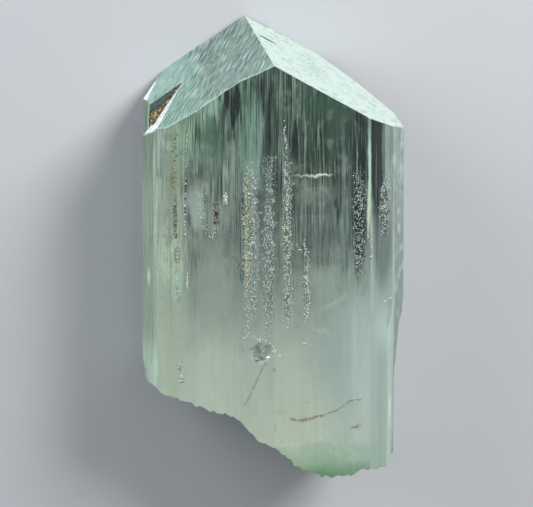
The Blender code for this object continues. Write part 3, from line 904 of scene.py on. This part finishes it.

# Columns where the healed tubes are crowded: x, half width, top y, bottom y, the colours
# between and on them, share of clear glass between them, strength. In the last two the
# near-black between the tubes is painted dark reflection.
SPECKLED = (
    (-3.9, 1.2, -18.5, -52.0, "#9DAFA2", "#D0DCCC", 0.45, 0.65),
    (-5.2, 0.5, -18.0, -50.0, "#A3AA84", "#F2EBBE", 0.30, 0.75),
    (-1.0, 1.2, -17.0, -56.0, "#8A9E92", "#DCECDE", 0.5, 0.75),
    (2.6, 0.85, -14.0, -55.0, "#7A8D82", "#F0F4DC", 0.5, 0.85),
    (6.4, 0.7, -36.0, -53.0, "#87998D", "#E6ECD0", 0.5, 0.75),
    # Painted dark reflection between the tubes, in the dark window at the right edge.
    (17.1, 1.35, -20.0, -45.0, "#16211D", "#B6CABF", 0.3, 0.9),
    (22.8, 1.2, -22.5, -37.5, "#16211D", "#C6D8CD", 0.3, 0.9),
)

# Growth lines, narrow windows between them, painted dark reflections and a painted highlight:
# x, half width, top y, bottom y, softness, colour, share of clear glass, strength.
LINES = (
    # Painted dark reflection: near-black and nearly opaque, it makes the dark window at the right
    # edge. The three rows after it draw paler lines into it.
    (21.1, 2.5, 4.0, -38.0, 0.45, "#050706", 0.05, 0.96),
    (22.4, 0.4, -8.0, -27.0, 1.0, "#6F9484", 0.20, 0.6),
    (20.8, 0.25, -12.0, -34.0, 1.0, "#5F8072", 0.20, 0.5),
    (21.6, 0.25, -22.0, -42.0, 1.0, "#78998A", 0.10, 0.45),
    # Painted dark reflections: the two dark wedges under the left roof.
    (-8.9, 0.6, -2.5, -9.5, 0.4, "#2A3A32", 0.8, 0.9),
    (-6.9, 0.7, -2.5, -11.0, 0.3, "#2A3A32", 0.8, 0.9),
    (19.2, 0.5, -8.0, -36.5, 0.7, "#BFE8D0", 0.15, 0.95),
    (19.0, 0.45, -23.0, -37.0, 0.7, "#DDE3C4", 0.1, 0.9),
    (16.7, 0.22, -12.0, -32.0, 0.7, "#A6D0B8", 0.35, 0.75),
    (9.9, 0.14, -9.0, -36.0, 0.7, "#9CC8B0", 0.35, 0.7),
    (1.7, 0.22, -4.0, -48.0, 0.7, "#A0D0B4", 0.35, 0.6),
    (-2.6, 0.18, -3.0, -22.0, 0.7, "#A0D0B4", 0.35, 0.6),
    (-3.6, 0.18, -4.0, -20.0, 0.7, "#A0D0B4", 0.35, 0.6),
    (6.3, 0.16, -8.0, -21.0, 0.7, "#93C6A9", 0.4, 0.7),
    (4.2, 0.6, -9.0, -21.5, 0.7, "#3C5348", 0.95, 0.8),
    (-0.9, 0.55, -5.0, -20.0, 0.7, "#45604F", 0.95, 0.4),
    (-19.3, 0.6, -24.5, -34.0, 0.6, "#6F8474", 0.4, 0.6),
    (16.2, 1.1, -46.0, -70.0, 1.0, "#E2F0EA", 0.2, 0.25),
    (-17.6, 0.2, -10.0, -36.0, 0.7, "#CFE4D4", 0.2, 0.4),
    (-22.1, 0.8, -46.0, -70.0, 1.0, "#C8E4CC", 0.3, 0.4),
    (-20.2, 0.25, -13.0, -60.0, 0.9, "#86A78B", 0.6, 0.35),
    (-18.7, 0.25, -13.0, -48.0, 0.7, "#B4CFB8", 0.3, 0.6),
    (-17.0, 0.25, -40.0, -45.2, 0.9, "#DCEAE0", 0.1, 0.5),
    # Painted highlight: the white sheen down the lower right edge.
    (24.8, 0.4, -66.0, -76.0, 1.0, "#DDEBE2", 0.1, 0.6),
)

# Stains, with the same values as the clouds.
STAINS = (
    ("iron stain", 6.5, -70.9, 3.2, 0.55, 2, 0.9, "#A58A52", 0.15, 0.7),
    ("iron stain, right", 16.4, -73.2, 1.7, 0.5, 12, 0.9, "#B0955E", 0.15, 0.55),
    ("iron stain, left", 1.5, -69.2, 2.6, 0.4, -6, 0.9, "#B5A377", 0.15, 0.4),
    ("brown smear", -11.3, -29.2, 0.9, 3.0, -3, 0.8, "#6E6455", 0.15, 0.55),
    ("green crack", -6.3, -41.3, 0.3, 5.2, 14.7, 0.6, "#2A5E50", 0.15, 0.85),
    ("blue rim of the pit", -2.8, -58.5, 1.5, 0.45, -8, 0.6, "#2F6E6C", 0.15, 0.85),
)


def zoned_look(tree, along):
    """Colour and clearness by the place along the crystal: the ramp's alpha is the clearness."""
    low, high = ZONES[0][0], ZONES[-1][0]
    share = add_node(tree, "ShaderNodeMapRange", {
        "Value": along, "From Min": low, "From Max": high}).outputs["Result"]
    stops = [((y - low) / (high - low), [*linear(colour)[:3], clear])
             for y, colour, clear in ZONES]
    zones = add_node(tree, "ShaderNodeValToRGB", {"Fac": share, "stops": stops})
    return {"colour": zones.outputs["Color"], "clear": zones.outputs["Alpha"]}


def lay_patches(tree, place, look, patches):
    """A look with each of the oval patches laid over it. Their nodes carry their names."""
    for name, x, y, wide, tall, turn, soft, colour, clear, strength in patches:
        mask = patch(tree, place, (x, y), (wide, tall), turn, soft, strength)
        mask.node.label = name
        look = lay_over(tree, mask, look, {"colour": linear(colour), "clear": clear})
    return look


def lay_striations(tree, place, look, fine, medium):
    """Dark and pale growth lines, strong near the roof and calm lower down and at the left."""
    calm = streaks(tree, place, (5.0, 14.0, 9.0))
    parts = add_node(tree, "ShaderNodeSeparateXYZ", {"Vector": place})
    upper = faded(tree, between(tree, parts.outputs["Y"], -50.0, -20.0, 0.05, 1.0),
                  between(tree, parts.outputs["X"], -18.5, -14.0, 0.3, 1.0))
    upper = faded(tree, upper, between(tree, calm, 0.36, 0.58, 0.25, 1.0))
    for low, high, colour, clear, strength in ((0.53, 0.62, "#A3CDB4", 0.45, 0.7),
                                               (0.47, 0.38, "#4A6257", 0.96, 0.8)):
        for pattern, share in ((fine, 1.0), (medium, 0.35)):
            mask = faded(tree, between(tree, pattern, low, high, 0.0, strength * share), upper)
            look = lay_over(tree, mask, look, {"colour": linear(colour), "clear": clear})
    return look


def lay_speckles(tree, place, shaken, look):
    """Crowded bright tubes in columns, with dark crystal between, and painted dark reflection at
    the right edge.
    """
    dots = add_node(tree, "ShaderNodeTexVoronoi", {
        "voronoi_dimensions": "2D", "Vector": drawn_out(tree, place, (0.28, 0.42, 1.0)),
        "Scale": 1.0})
    bright = faded(tree, between(tree, dots.outputs["Distance"], 0.5, 0.3),
                   between(tree, dots.outputs["Color"], 0.35, 0.6))
    for x, wide, top, bottom, between_colour, colour, clear, strength in SPECKLED:
        mask = patch(tree, shaken, (x, 0.5 * (top + bottom)), (wide, 0.5 * (top - bottom)), 0,
                     0.35, strength)
        look = lay_over(tree, mask, look, {"colour": linear(between_colour), "clear": clear})
        look = lay_over(tree, faded(tree, mask, bright), look,
                        {"colour": linear(colour), "clear": 0.1})
    return look


def front_look(tree, place):
    """Growth face: glassy, striated along the crystal, clear above and milky below."""
    # Growth lines can be finer than 0.05 mm. They are drawn 0.19 mm wide, so that they show.
    fine = streaks(tree, place, (0.19, 9.0, 0.6))
    medium = streaks(tree, place, (0.8, 30.0, 1.5))
    mottle = streaks(tree, place, (2.2, 3.2, 3.0), 3.0)
    streaky = ragged(tree, place, (0.4, 4.0, 0.0), (0.4, 7.0, 1.0))
    wavy = ragged(tree, place, (0.0, 1.6, 0.0), (8.0, 8.0, 6.0))
    along = add_node(tree, "ShaderNodeSeparateXYZ", {"Vector": wavy}).outputs["Y"]
    look = lay_patches(tree, streaky, zoned_look(tree, along), CLOUDS)
    # Dim and milky mottling and fine dust, which fade out in the milky lower end.
    upper = between(tree, along, -60.0, -35.0, 0.12, 1.0)
    dust = streaks(tree, place, (0.3, 0.45, 0.5), 2.0)
    look = lay_tones(tree, look, (mottle, 0.48, 0.3, 0.45, "#7F968A"),
                     (mottle, 0.52, 0.7, 0.4, "#B9D2C0", 0.4),
                     (dust, 0.47, 0.3, 0.35, "#7F968A"), within=upper)
    look = lay_striations(tree, place, look, fine, medium)
    # What lies over the striations: veils, glints, single lines, healed tubes and stains. Some of
    # the glints and lines are painted highlights and painted dark reflections.
    soft_edged = ragged(tree, place, (1.3, 2.2, 0.0), (1.5, 4.0, 2.0))
    look = lay_patches(tree, soft_edged, look, VEILS)
    look = lay_patches(tree, ragged(tree, place, (0.0, 0.5, 0.0), (1.2, 2.0, 2.0)), look, GLINTS)
    steady = ragged(tree, place, (0.15, 0.8, 0.0), (0.6, 2.5, 1.0))
    look = lay_patches(tree, steady, look, [
        ("growth line", x, 0.5 * (top + bottom), wide, 0.5 * (top - bottom), 0, *rest)
        for x, wide, top, bottom, *rest in LINES])
    shaken = ragged(tree, place, (0.9, 0.7, 0.0), (0.9, 0.7, 1.0))
    look = lay_speckles(tree, place, shaken, look)
    look = lay_patches(tree, shaken, look, STAINS)
    look["rough"] = between(tree, fine, 0.35, 0.65, 0.03, 0.10)
    pitted = patch(tree, shaken, PIT[:2], (PIT[2], PIT[2]), 0, 0.2)
    look = lay_over(tree, pitted, look, {"rough": 0.45})
    both = add_node(tree, "ShaderNodeMath", {"operation": "ADD", 0: fine, 1: medium})
    look["height"] = faded(tree, both.outputs["Value"], upper)
    return look


def hidden_look(tree, place):
    """Growth face on the underside: as the front, without what lies under the front."""
    lines = streaks(tree, place, (0.5, 14.0, 0.8))
    along = add_node(tree, "ShaderNodeSeparateXYZ", {"Vector": place}).outputs["Y"]
    look = {"colour": linear("#D5E6DB"), "clear": 0.93}
    look = lay_tones(tree, look, (along, -35.0, -60.0, 1.0, "#D3E0D0", 0.5),
                     (lines, 0.5, 0.36, 0.7, "#9DB8A8"))
    look["rough"] = between(tree, lines, 0.35, 0.65, 0.05, 0.2)
    look["height"] = lines
    return look


# A painted highlight on the side faces.
SIDE_GLINT = ((10.5, -42.3), (1.4, 2.6))    # z and y of its middle, and its half sizes


def side_look(tree, place):
    """Growth face of the sides: milky green with pale and dark lines along the crystal."""
    lines = streaks(tree, place, (1.0, 12.0, 0.45), 3.0)
    cloud = streaks(tree, place, (2.0, 3.0, 1.6), 3.0)
    along = add_node(tree, "ShaderNodeSeparateXYZ", {"Vector": place}).outputs["Y"]
    look = {"colour": chosen("sides"), "clear": 0.2}
    look = lay_tones(tree, look, (along, -27.0, -15.0, 0.8, "#4F664D"),
                     (along, -52.0, -60.0, 0.8, "#B4D0B4"))
    # Painted highlight: a near-white patch on the sides.
    glint = patch(tree, turned(tree, place, (0.0, 0.0, 1.0), (0.0, 1.0, 0.0)), *SIDE_GLINT,
                  0, 1.0, 0.9)
    look = lay_over(tree, glint, look, {"colour": linear("#F0FAF0")})
    look = lay_tones(tree, look, (cloud, 0.5, 0.3, 0.6, "#64836A"),
                     (lines, 0.55, 0.7, 0.4, "#BCD3C1"), (lines, 0.45, 0.3, 0.6, "#54705B"))
    look["rough"] = between(tree, lines, 0.35, 0.65, 0.08, 0.25)
    look["height"] = lines
    return look


# The right roof face: its crack as x, y, half sizes and turn, and its smudges of etching
# with a strength as well.
ROOF_CRACK = (2.6, 2.64, 3.1, 0.2, -30.3)
SMUDGES = ((11.5, -3.6, 3.2, 1.1, -28, 0.55), (9.5, -1.6, 2.4, 0.8, -28, 0.4),
           (22.0, -11.0, 1.6, 0.6, -28, 0.4), (5.0, 0.8, 2.2, 0.5, -28, 0.3))


def roof_right_look(tree, place):
    """Etched face that catches the light: satin white-green with faint streaks."""
    streak = streaks(tree, place, (2.6, 2.6, 0.45), 3.0)
    grainy = streaks(tree, place, (0.45, 0.45, 0.35), 3.0)
    scratch = streaks(tree, place, (1.6, 1.6, 0.22), 2.0)
    look = {"colour": chosen("roof"), "clear": 0.15}
    look = lay_tones(tree, look, (streak, 0.5, 0.34, 0.5, "#9FB6AB"),
                     (grainy, 0.44, 0.34, 0.9, "#869C91"), (scratch, 0.4, 0.34, 0.9, "#566E62"))
    shaken = ragged(tree, place, (1.4, 0.8, 0.0), (0.7, 0.4, 0.7))
    for x, y, wide, tall, turn, strength in SMUDGES:
        mask = patch(tree, shaken, (x, y), (wide, tall), turn, 0.9, strength)
        look = lay_over(tree, mask, look, {"colour": linear("#87A396")})
    x, y, wide, tall, turn = ROOF_CRACK
    crack = patch(tree, place, (x, y), (wide, tall), turn, 0.7)
    look = lay_over(tree, crack, look, {"colour": linear("#33483F")})
    look["rough"] = between(tree, grainy, 0.35, 0.65, 0.28, 0.45)
    look["height"] = grainy
    return look


HATCH = ((0.676, 0.0, 0.737), (0.737, 0.0, -0.676))   # across and along the hatching


def roof_left_look(tree, place):
    """Etched face away from the light, darkened with painted shade: hatched with fine lines that
    run up and back.

    The hatching of such a face can be finer than 0.05 mm. It is drawn 0.17 mm wide, so
    that it shows.
    """
    along = turned(tree, place, *HATCH)
    hatch = streaks(tree, along, (0.17, 2.8, 2.8), 1.0)
    cloud = streaks(tree, along, (0.7, 2.5, 2.5), 4.0)
    parts = add_node(tree, "ShaderNodeSeparateXYZ", {"Vector": place})
    # The base colour is darker than the right roof face's, though both are the same etching:
    # painted shade.
    look = {"colour": linear("#5F766D"), "clear": 0.25}
    greener = between(tree, parts.outputs["X"], -9.0, -15.5, 0.0, 0.9)
    look = lay_over(tree, greener, look, {"colour": linear("#6B9080")})
    behind = between(tree, parts.outputs["Z"], BACK_FRONT, BACK_FRONT - 0.3)
    look = lay_over(tree, faded(tree, behind, greener), look, {"colour": linear("#8AB0A2")})
    look = lay_over(tree, behind, look, {"clear": 0.35})
    look = lay_tones(tree, look, (cloud, 0.5, 0.34, 0.35, "#52685F"),
                     (hatch, 0.49, 0.6, 0.8, "#AFC6BC", 0.15))
    suture = add_node(tree, "ShaderNodeMath", {
        "operation": "COMPARE", 0: parts.outputs["Z"], 1: BACK_FRONT + 0.1, 2: 0.1})
    broken_up = between(tree, cloud, 0.4, 0.55, 0.0, 0.35)
    look = lay_over(tree, faded(tree, suture.outputs["Value"], broken_up), look,
                    {"colour": linear("#D2DEC9")})
    look["rough"] = between(tree, cloud, 0.35, 0.65, 0.25, 0.42)
    look["height"] = hatch
    return look


def plain_look(tree, cloud, colour, clear, rough):
    """A plainer etched or broken surface: one colour, clouded by a noise."""
    look = {"colour": colour, "clear": clear}
    look = lay_over(tree, between(tree, cloud, 0.5, 0.32, 0.0, 0.8), look,
                    {"colour": [0.72 * part for part in colour[:3]] + [1.0]})
    look["rough"] = between(tree, cloud, 0.3, 0.7, *rough)
    look["height"] = cloud
    return look


def faced(tree, look):
    """A face of spodumene with a look's colour, share of clear glass, gloss and relief."""
    bump = add_node(tree, "ShaderNodeBump", {
        "Strength": 0.5, "Distance": 0.06 * MM, "Height": look["height"]}).outputs["Normal"]
    return add_node(tree, "ShaderNodeBsdfPrincipled", {
        "IOR": SPODUMENE_IOR, "Base Color": look["colour"],
        "Transmission Weight": look["clear"], "Roughness": look["rough"],
        "Normal": bump}).outputs["BSDF"]


def spodumene():
    """Gem spodumene as it grew, etched and broke, each face with its own finish.

    Grown faces are glassy and striated, so lines of light run along them. Etched roof
    faces are satin and look nearly white where they catch the light. The absorption in
    the body turns what is seen through it green.
    """
    material, tree = new_material("gem spodumene, grown, etched and broken faces")
    place = crystal_place(tree)
    cloud = streaks(tree, place, (0.8, 0.5, 1.4), 3.0)
    looks = {
        "front": front_look(tree, place),
        "hidden": hidden_look(tree, place),
        "side": side_look(tree, place),
        "roof right": roof_right_look(tree, place),
        "roof left": roof_left_look(tree, place),
        # Near-white: partly the frosted bevel's own colour, partly painted highlight.
        "roof bevel": plain_look(tree, cloud, linear("#FCFFFD"), 0.1, (0.25, 0.4)),
        "roof edge": plain_look(tree, cloud, linear("#A2B7AD"), 0.15, (0.2, 0.4)),
        "broken": plain_look(tree, cloud, chosen("base"), 0.5, (0.1, 0.35)),
        "notch": plain_look(tree, cloud, linear("#4E6E60"), 0.6, (0.1, 0.35)),
    }
    # A face's finish picks one of the surfaces, so only that one has to be worked out.
    surface = faced(tree, looks[FINISHES[0]])
    for number, name in enumerate(FINISHES[1:], 1):
        surface = add_node(tree, "ShaderNodeMixShader", {
            0: carries(tree, "finish", number), 1: surface,
            2: faced(tree, looks[name])}).outputs["Shader"]
    volume = add_node(tree, "ShaderNodeVolumeAbsorption", {
        "Color": chosen("body"), "Density": ABSORPTION_DENSITY})
    add_node(tree, "ShaderNodeOutputMaterial", {
        "Surface": surface, "Volume": volume.outputs["Volume"]})
    return material


def healed_flakes():
    """Walls of healed growth tubes and specks of iron stain: tiny mirrors of many tints."""
    material, tree = new_material("spodumene, healed growth tubes and iron specks")
    cloud = streaks(tree, crystal_place(tree), (0.3, 0.3, 0.3))
    look = {"colour": linear(TINT_COLOURS[0])}
    for number, colour in enumerate(TINT_COLOURS[1:], 1):
        look = lay_over(tree, carries(tree, "tint", number), look, {"colour": linear(colour)})
    shader = add_node(tree, "ShaderNodeBsdfPrincipled", {
        "IOR": SPODUMENE_IOR, "Base Color": look["colour"],
        "Roughness": between(tree, cloud, 0.35, 0.65, 0.25, 0.5),
        "Transmission Weight": 0.1})
    add_node(tree, "ShaderNodeOutputMaterial", {"Surface": shader.outputs["BSDF"]})
    return material


def silvery_fracture():
    """A healed crack inside the crystal: a thin film of tiny droplets that shines."""
    material, tree = new_material("healed fracture, fluid-filled film")
    place = crystal_place(tree)
    cloud = streaks(tree, place, (0.7, 0.5, 0.9), 3.0)
    look = {"colour": chosen("film"), "clear": 0.2}
    look = lay_tones(tree, look, (cloud, 0.5, 0.4, 1.0, "#B9C4B8", 0.75))
    shader = add_node(tree, "ShaderNodeBsdfPrincipled", {
        "IOR": SPODUMENE_IOR, "Base Color": look["colour"], "Roughness": 0.3,
        "Transmission Weight": look["clear"]})
    add_node(tree, "ShaderNodeOutputMaterial", {"Surface": shader.outputs["BSDF"]})
    return material


def iron_stained_matrix():
    """Weathered feldspar and clay: dull grains from straw yellow to rust brown."""
    material, tree = new_material("feldspar and clay matrix, iron-stained")
    place = crystal_place(tree)
    grains = streaks(tree, place, (0.5, 0.5, 0.5), 3.0)
    # Clay dust of about 0.01 mm is drawn as specks of 0.12 mm, so that it shows.
    dust = streaks(tree, place, (0.12, 0.12, 0.12), 2.0)
    stops = [(0.34, linear("#1E1A10")), (0.46, linear("#544628")), (0.56, linear("#8A7850")),
             (0.68, chosen("matrix"))]
    colour = add_node(tree, "ShaderNodeValToRGB", {"Fac": grains, "stops": stops})
    bump = add_node(tree, "ShaderNodeBump", {
        "Strength": 0.6, "Distance": 0.05 * MM, "Height": dust}).outputs["Normal"]
    shader = add_node(tree, "ShaderNodeBsdfPrincipled", {
        "IOR": 1.5, "Base Color": colour.outputs["Color"],
        "Roughness": between(tree, dust, 0.3, 0.7, 0.7, 0.95), "Normal": bump})
    add_node(tree, "ShaderNodeOutputMaterial", {"Surface": shader.outputs["BSDF"]})
    return material


# ---------------------------------------------------------------- settings

def length_property(name, description, default, low, high):
    """A length that is given here in millimetres and kept in metres."""
    return FloatProperty(name=name, description=description, unit="LENGTH", precision=6,
                         default=default * MM, min=low * MM, max=high * MM)


def colour_property(name, description, default):
    """A colour, kept as linear red, green, blue and alpha."""
    return FloatVectorProperty(name=name, description=description, subtype="COLOR", size=4,
                               min=0.0, max=1.0, default=default)


class KunziteSizes(bpy.types.PropertyGroup):
    """Sizes that can be changed."""
    column_step: length_property(
        "Column spacing", "Spacing of the columns of points round the prism", 0.3, 0.2, 1.0)
    cap_step: length_property(
        "Cap spacing", "Spacing of the points on the roof and the broken base", 0.4, 0.25, 1.0)
    growth_relief: length_property(
        "Growth relief", "Height of the growth terraces on the prism faces", 0.1, 0.0, 0.3)
    roof_relief: length_property(
        "Roof relief", "Height of the etched relief on the roof", 0.012, 0.0, 0.2)
    flake_density: FloatProperty(
        name="Flake density", subtype="FACTOR", default=1.0, min=0.1, max=2.0,
        description="How crowded the healed tubes are, as a share of the usual number")
    grains: IntProperty(
        name="Matrix grains", subtype="UNSIGNED", default=110, min=10, max=400,
        description="Loose grains on the matrix crumb in the notch")


class KunziteColours(bpy.types.PropertyGroup):
    """Colours that can be changed."""
    body: colour_property(
        "Body", "What stays of white light that crosses the clear crystal", ABSORPTION)
    roof: colour_property(
        "Etched roof", "The bright, etched right face of the roof", linear("#BCCEC5"))
    sides: colour_property(
        "Sides", "The milky growth faces at both sides", linear("#819A7D"))
    base: colour_property(
        "Broken base", "The broken lower end", linear("#B5D6BD"))
    film: colour_property(
        "Healed crack", "The silvery film in the healed crack", linear("#F7F3E2"))
    matrix: colour_property(
        "Matrix", "The palest grains of the matrix in the notch", linear("#CDBD90"))
    floor: colour_property(
        "Floor", "The painted board the crystal lies on", linear("#C4C6C9"))


def chosen(name):
    """One of the colours that can be changed."""
    return list(getattr(bpy.context.scene.kunzite_colours, name))


def in_mm(length):
    """A length kept in metres, in millimetres, without the rounding of the setting."""
    return round(length / MM, 5)


# ---------------------------------------------------------------- operators

class KUNZITE_OT_crystal(bpy.types.Operator):
    """Build the crystal's finished surface"""
    bl_idname = "kunzite.crystal"
    bl_label = "Crystal"

    def execute(self, context):
        points, faces, finishes = crystal_mesh(context.scene.kunzite)
        crystal = add_piece("crystal", points, faces, spodumene(), sharp=22.0)
        give_faces(crystal, "finish", [FINISHES.index(name) for name in finishes])
        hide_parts(CRYSTAL_NODE)
        return {"FINISHED"}


class KUNZITE_OT_inclusions(bpy.types.Operator):
    """Build the bands of healed tubes and the healed fracture"""
    bl_idname = "kunzite.inclusions"
    bl_label = "Inclusions"

    def execute(self, context):
        points, faces, tints = flakes_mesh(context.scene.kunzite.flake_density)
        flakes = add_piece("healed_tubes", points, faces, healed_flakes())
        give_faces(flakes, "tint", tints)
        points, faces = fracture_mesh()
        fracture = add_piece("healed_fracture", points, faces, silvery_fracture(), sharp=40.0)
        return {"FINISHED"}


class KUNZITE_OT_matrix(bpy.types.Operator):
    """Build the crumb of matrix in the notch and the stained seam"""
    bl_idname = "kunzite.matrix"
    bl_label = "Matrix"

    def execute(self, context):
        points, faces = crumb_mesh(context.scene.kunzite.grains)
        crumb = add_piece("matrix_crumb", points, faces, iron_stained_matrix(), sharp=50.0)
        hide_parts(CRUMB_NODE)
        return {"FINISHED"}


class KUNZITE_OT_stage(bpy.types.Operator):
    """Build the floor, the lights and the camera"""
    bl_idname = "kunzite.stage"
    bl_label = "Stage"

    def execute(self, context):
        add_floor()
        add_lights()
        add_camera(context.scene)
        context.scene.view_settings.view_transform = "Standard"
        return {"FINISHED"}


# The stage, in metres.
FLOOR_HALF = 1.5
FLOOR_TOP = -0.00005     # just under the resting face
AIM = (0.0, 0.0, 0.01)
SURROUND = ("#C4C8CC", 0.5)
LIGHTS = (
    # name, place, width, height, watts, colour
    ("key softbox", (0.52, 0.5, 0.34), 0.45, 0.45, 9.0, "#FFFFFF"),
    ("fill softbox", (-0.62, 0.4, 0.16), 0.5, 0.4, 6.0, "#F4F8FF"),
)


def add_floor():
    """A pale floor just under the resting face."""
    corners = [(x * FLOOR_HALF, y * FLOOR_HALF, FLOOR_TOP)
               for x, y in ((-1, -1), (1, -1), (1, 1), (-1, 1))]
    mesh = bpy.data.meshes.new("floor")
    mesh.from_pydata(corners, [], [(0, 1, 2, 3)])
    material, tree = new_material("matt painted board")
    shader = add_node(tree, "ShaderNodeBsdfPrincipled", {
        "Base Color": chosen("floor"), "Roughness": 0.7})
    add_node(tree, "ShaderNodeOutputMaterial", {"Surface": shader.outputs["BSDF"]})
    mesh.materials.append(material)
    floor = bpy.data.objects.new("floor", mesh)
    bpy.context.scene.collection.objects.link(floor)


def add_lights():
    """Two softboxes and an even pale surround."""
    for name, place, width, height, watts, colour in LIGHTS:
        lamp = bpy.data.lights.new(name, "AREA")
        lamp.shape = "RECTANGLE"
        lamp.size, lamp.size_y = width, height
        lamp.energy = watts
        lamp.color = linear(colour)[:3]
        light = bpy.data.objects.new(name, lamp)
        light.location = place
        aim = Vector(AIM) - Vector(place)
        light.rotation_euler = aim.to_track_quat("-Z", "Y").to_euler()
        bpy.context.scene.collection.objects.link(light)
    world = bpy.data.worlds.new("studio")
    bpy.context.scene.world = world
    world.use_nodes = True
    background = world.node_tree.nodes["Background"]
    background.inputs["Color"].default_value = linear(SURROUND[0])
    background.inputs["Strength"].default_value = SURROUND[1]


def view_axes():
    """The picture's right, up and towards-the-viewer directions in the frame."""
    turn_c, turn_s = math.cos(VIEW_TURN), math.sin(VIEW_TURN)
    rise_c, rise_s = math.cos(VIEW_RISE), math.sin(VIEW_RISE)
    right = Vector((turn_c, 0.0, turn_s))
    up = Vector((turn_s * rise_s, rise_c, -turn_c * rise_s))
    towards = Vector((-turn_s * rise_c, rise_s, turn_c * rise_c))
    return right, up, towards


def add_camera(scene):
    """A long-lens camera that looks down on the lying crystal."""
    right, up, towards = view_axes()
    foot = Vector(crystal_offset()) + Vector((0.0, 0.0, THICKNESS))
    across = (PICTURE[0] / 2.0 - RIDGE_FOOT_PIXEL[0]) * PIXEL
    down = (RIDGE_FOOT_PIXEL[1] - PICTURE[1] / 2.0) * PIXEL
    middle = foot + right * across + up * down - towards * VIEW_DEPTH
    distance = PICTURE[0] * PIXEL / SENSOR * LENS
    data = bpy.data.cameras.new("camera")
    data.lens = LENS
    data.sensor_width = SENSOR
    data.sensor_fit = "HORIZONTAL"
    data.clip_start = 0.01
    data.clip_end = 20.0
    camera = bpy.data.objects.new("camera", data)
    turn = Matrix((right, up, towards)).transposed().to_4x4()
    camera.matrix_world = Matrix.Translation((middle + towards * distance) * MM) @ turn
    scene.collection.objects.link(camera)
    scene.camera = camera


class KUNZITE_PT_panel(bpy.types.Panel):
    """The operators, the sizes and the colours"""
    bl_label = "Kunzite crystal"
    bl_idname = "KUNZITE_PT_panel"
    bl_space_type = "VIEW_3D"
    bl_region_type = "UI"
    bl_category = "Kunzite"

    def draw(self, context):
        for operator in OPERATORS:
            self.layout.operator(operator.bl_idname)
        for name in KunziteSizes.__annotations__:
            self.layout.prop(context.scene.kunzite, name)
        for name in KunziteColours.__annotations__:
            self.layout.prop(context.scene.kunzite_colours, name)


OPERATORS = (KUNZITE_OT_crystal, KUNZITE_OT_inclusions, KUNZITE_OT_matrix, KUNZITE_OT_stage)
CLASSES = (KunziteSizes, KunziteColours, *OPERATORS, KUNZITE_PT_panel)


def register():
    """Add the classes and the scene's settings."""
    for made in CLASSES:
        bpy.utils.register_class(made)
    bpy.types.Scene.kunzite = PointerProperty(type=KunziteSizes)
    bpy.types.Scene.kunzite_colours = PointerProperty(type=KunziteColours)


def unregister():
    """Take them away again."""
    del bpy.types.Scene.kunzite_colours
    del bpy.types.Scene.kunzite
    for made in reversed(CLASSES):
        bpy.utils.unregister_class(made)


def main():
    register()
    bpy.ops.kunzite.crystal()
    bpy.ops.kunzite.inclusions()
    bpy.ops.kunzite.matrix()
    bpy.ops.kunzite.stage()


if __name__ == "__main__":
    main()
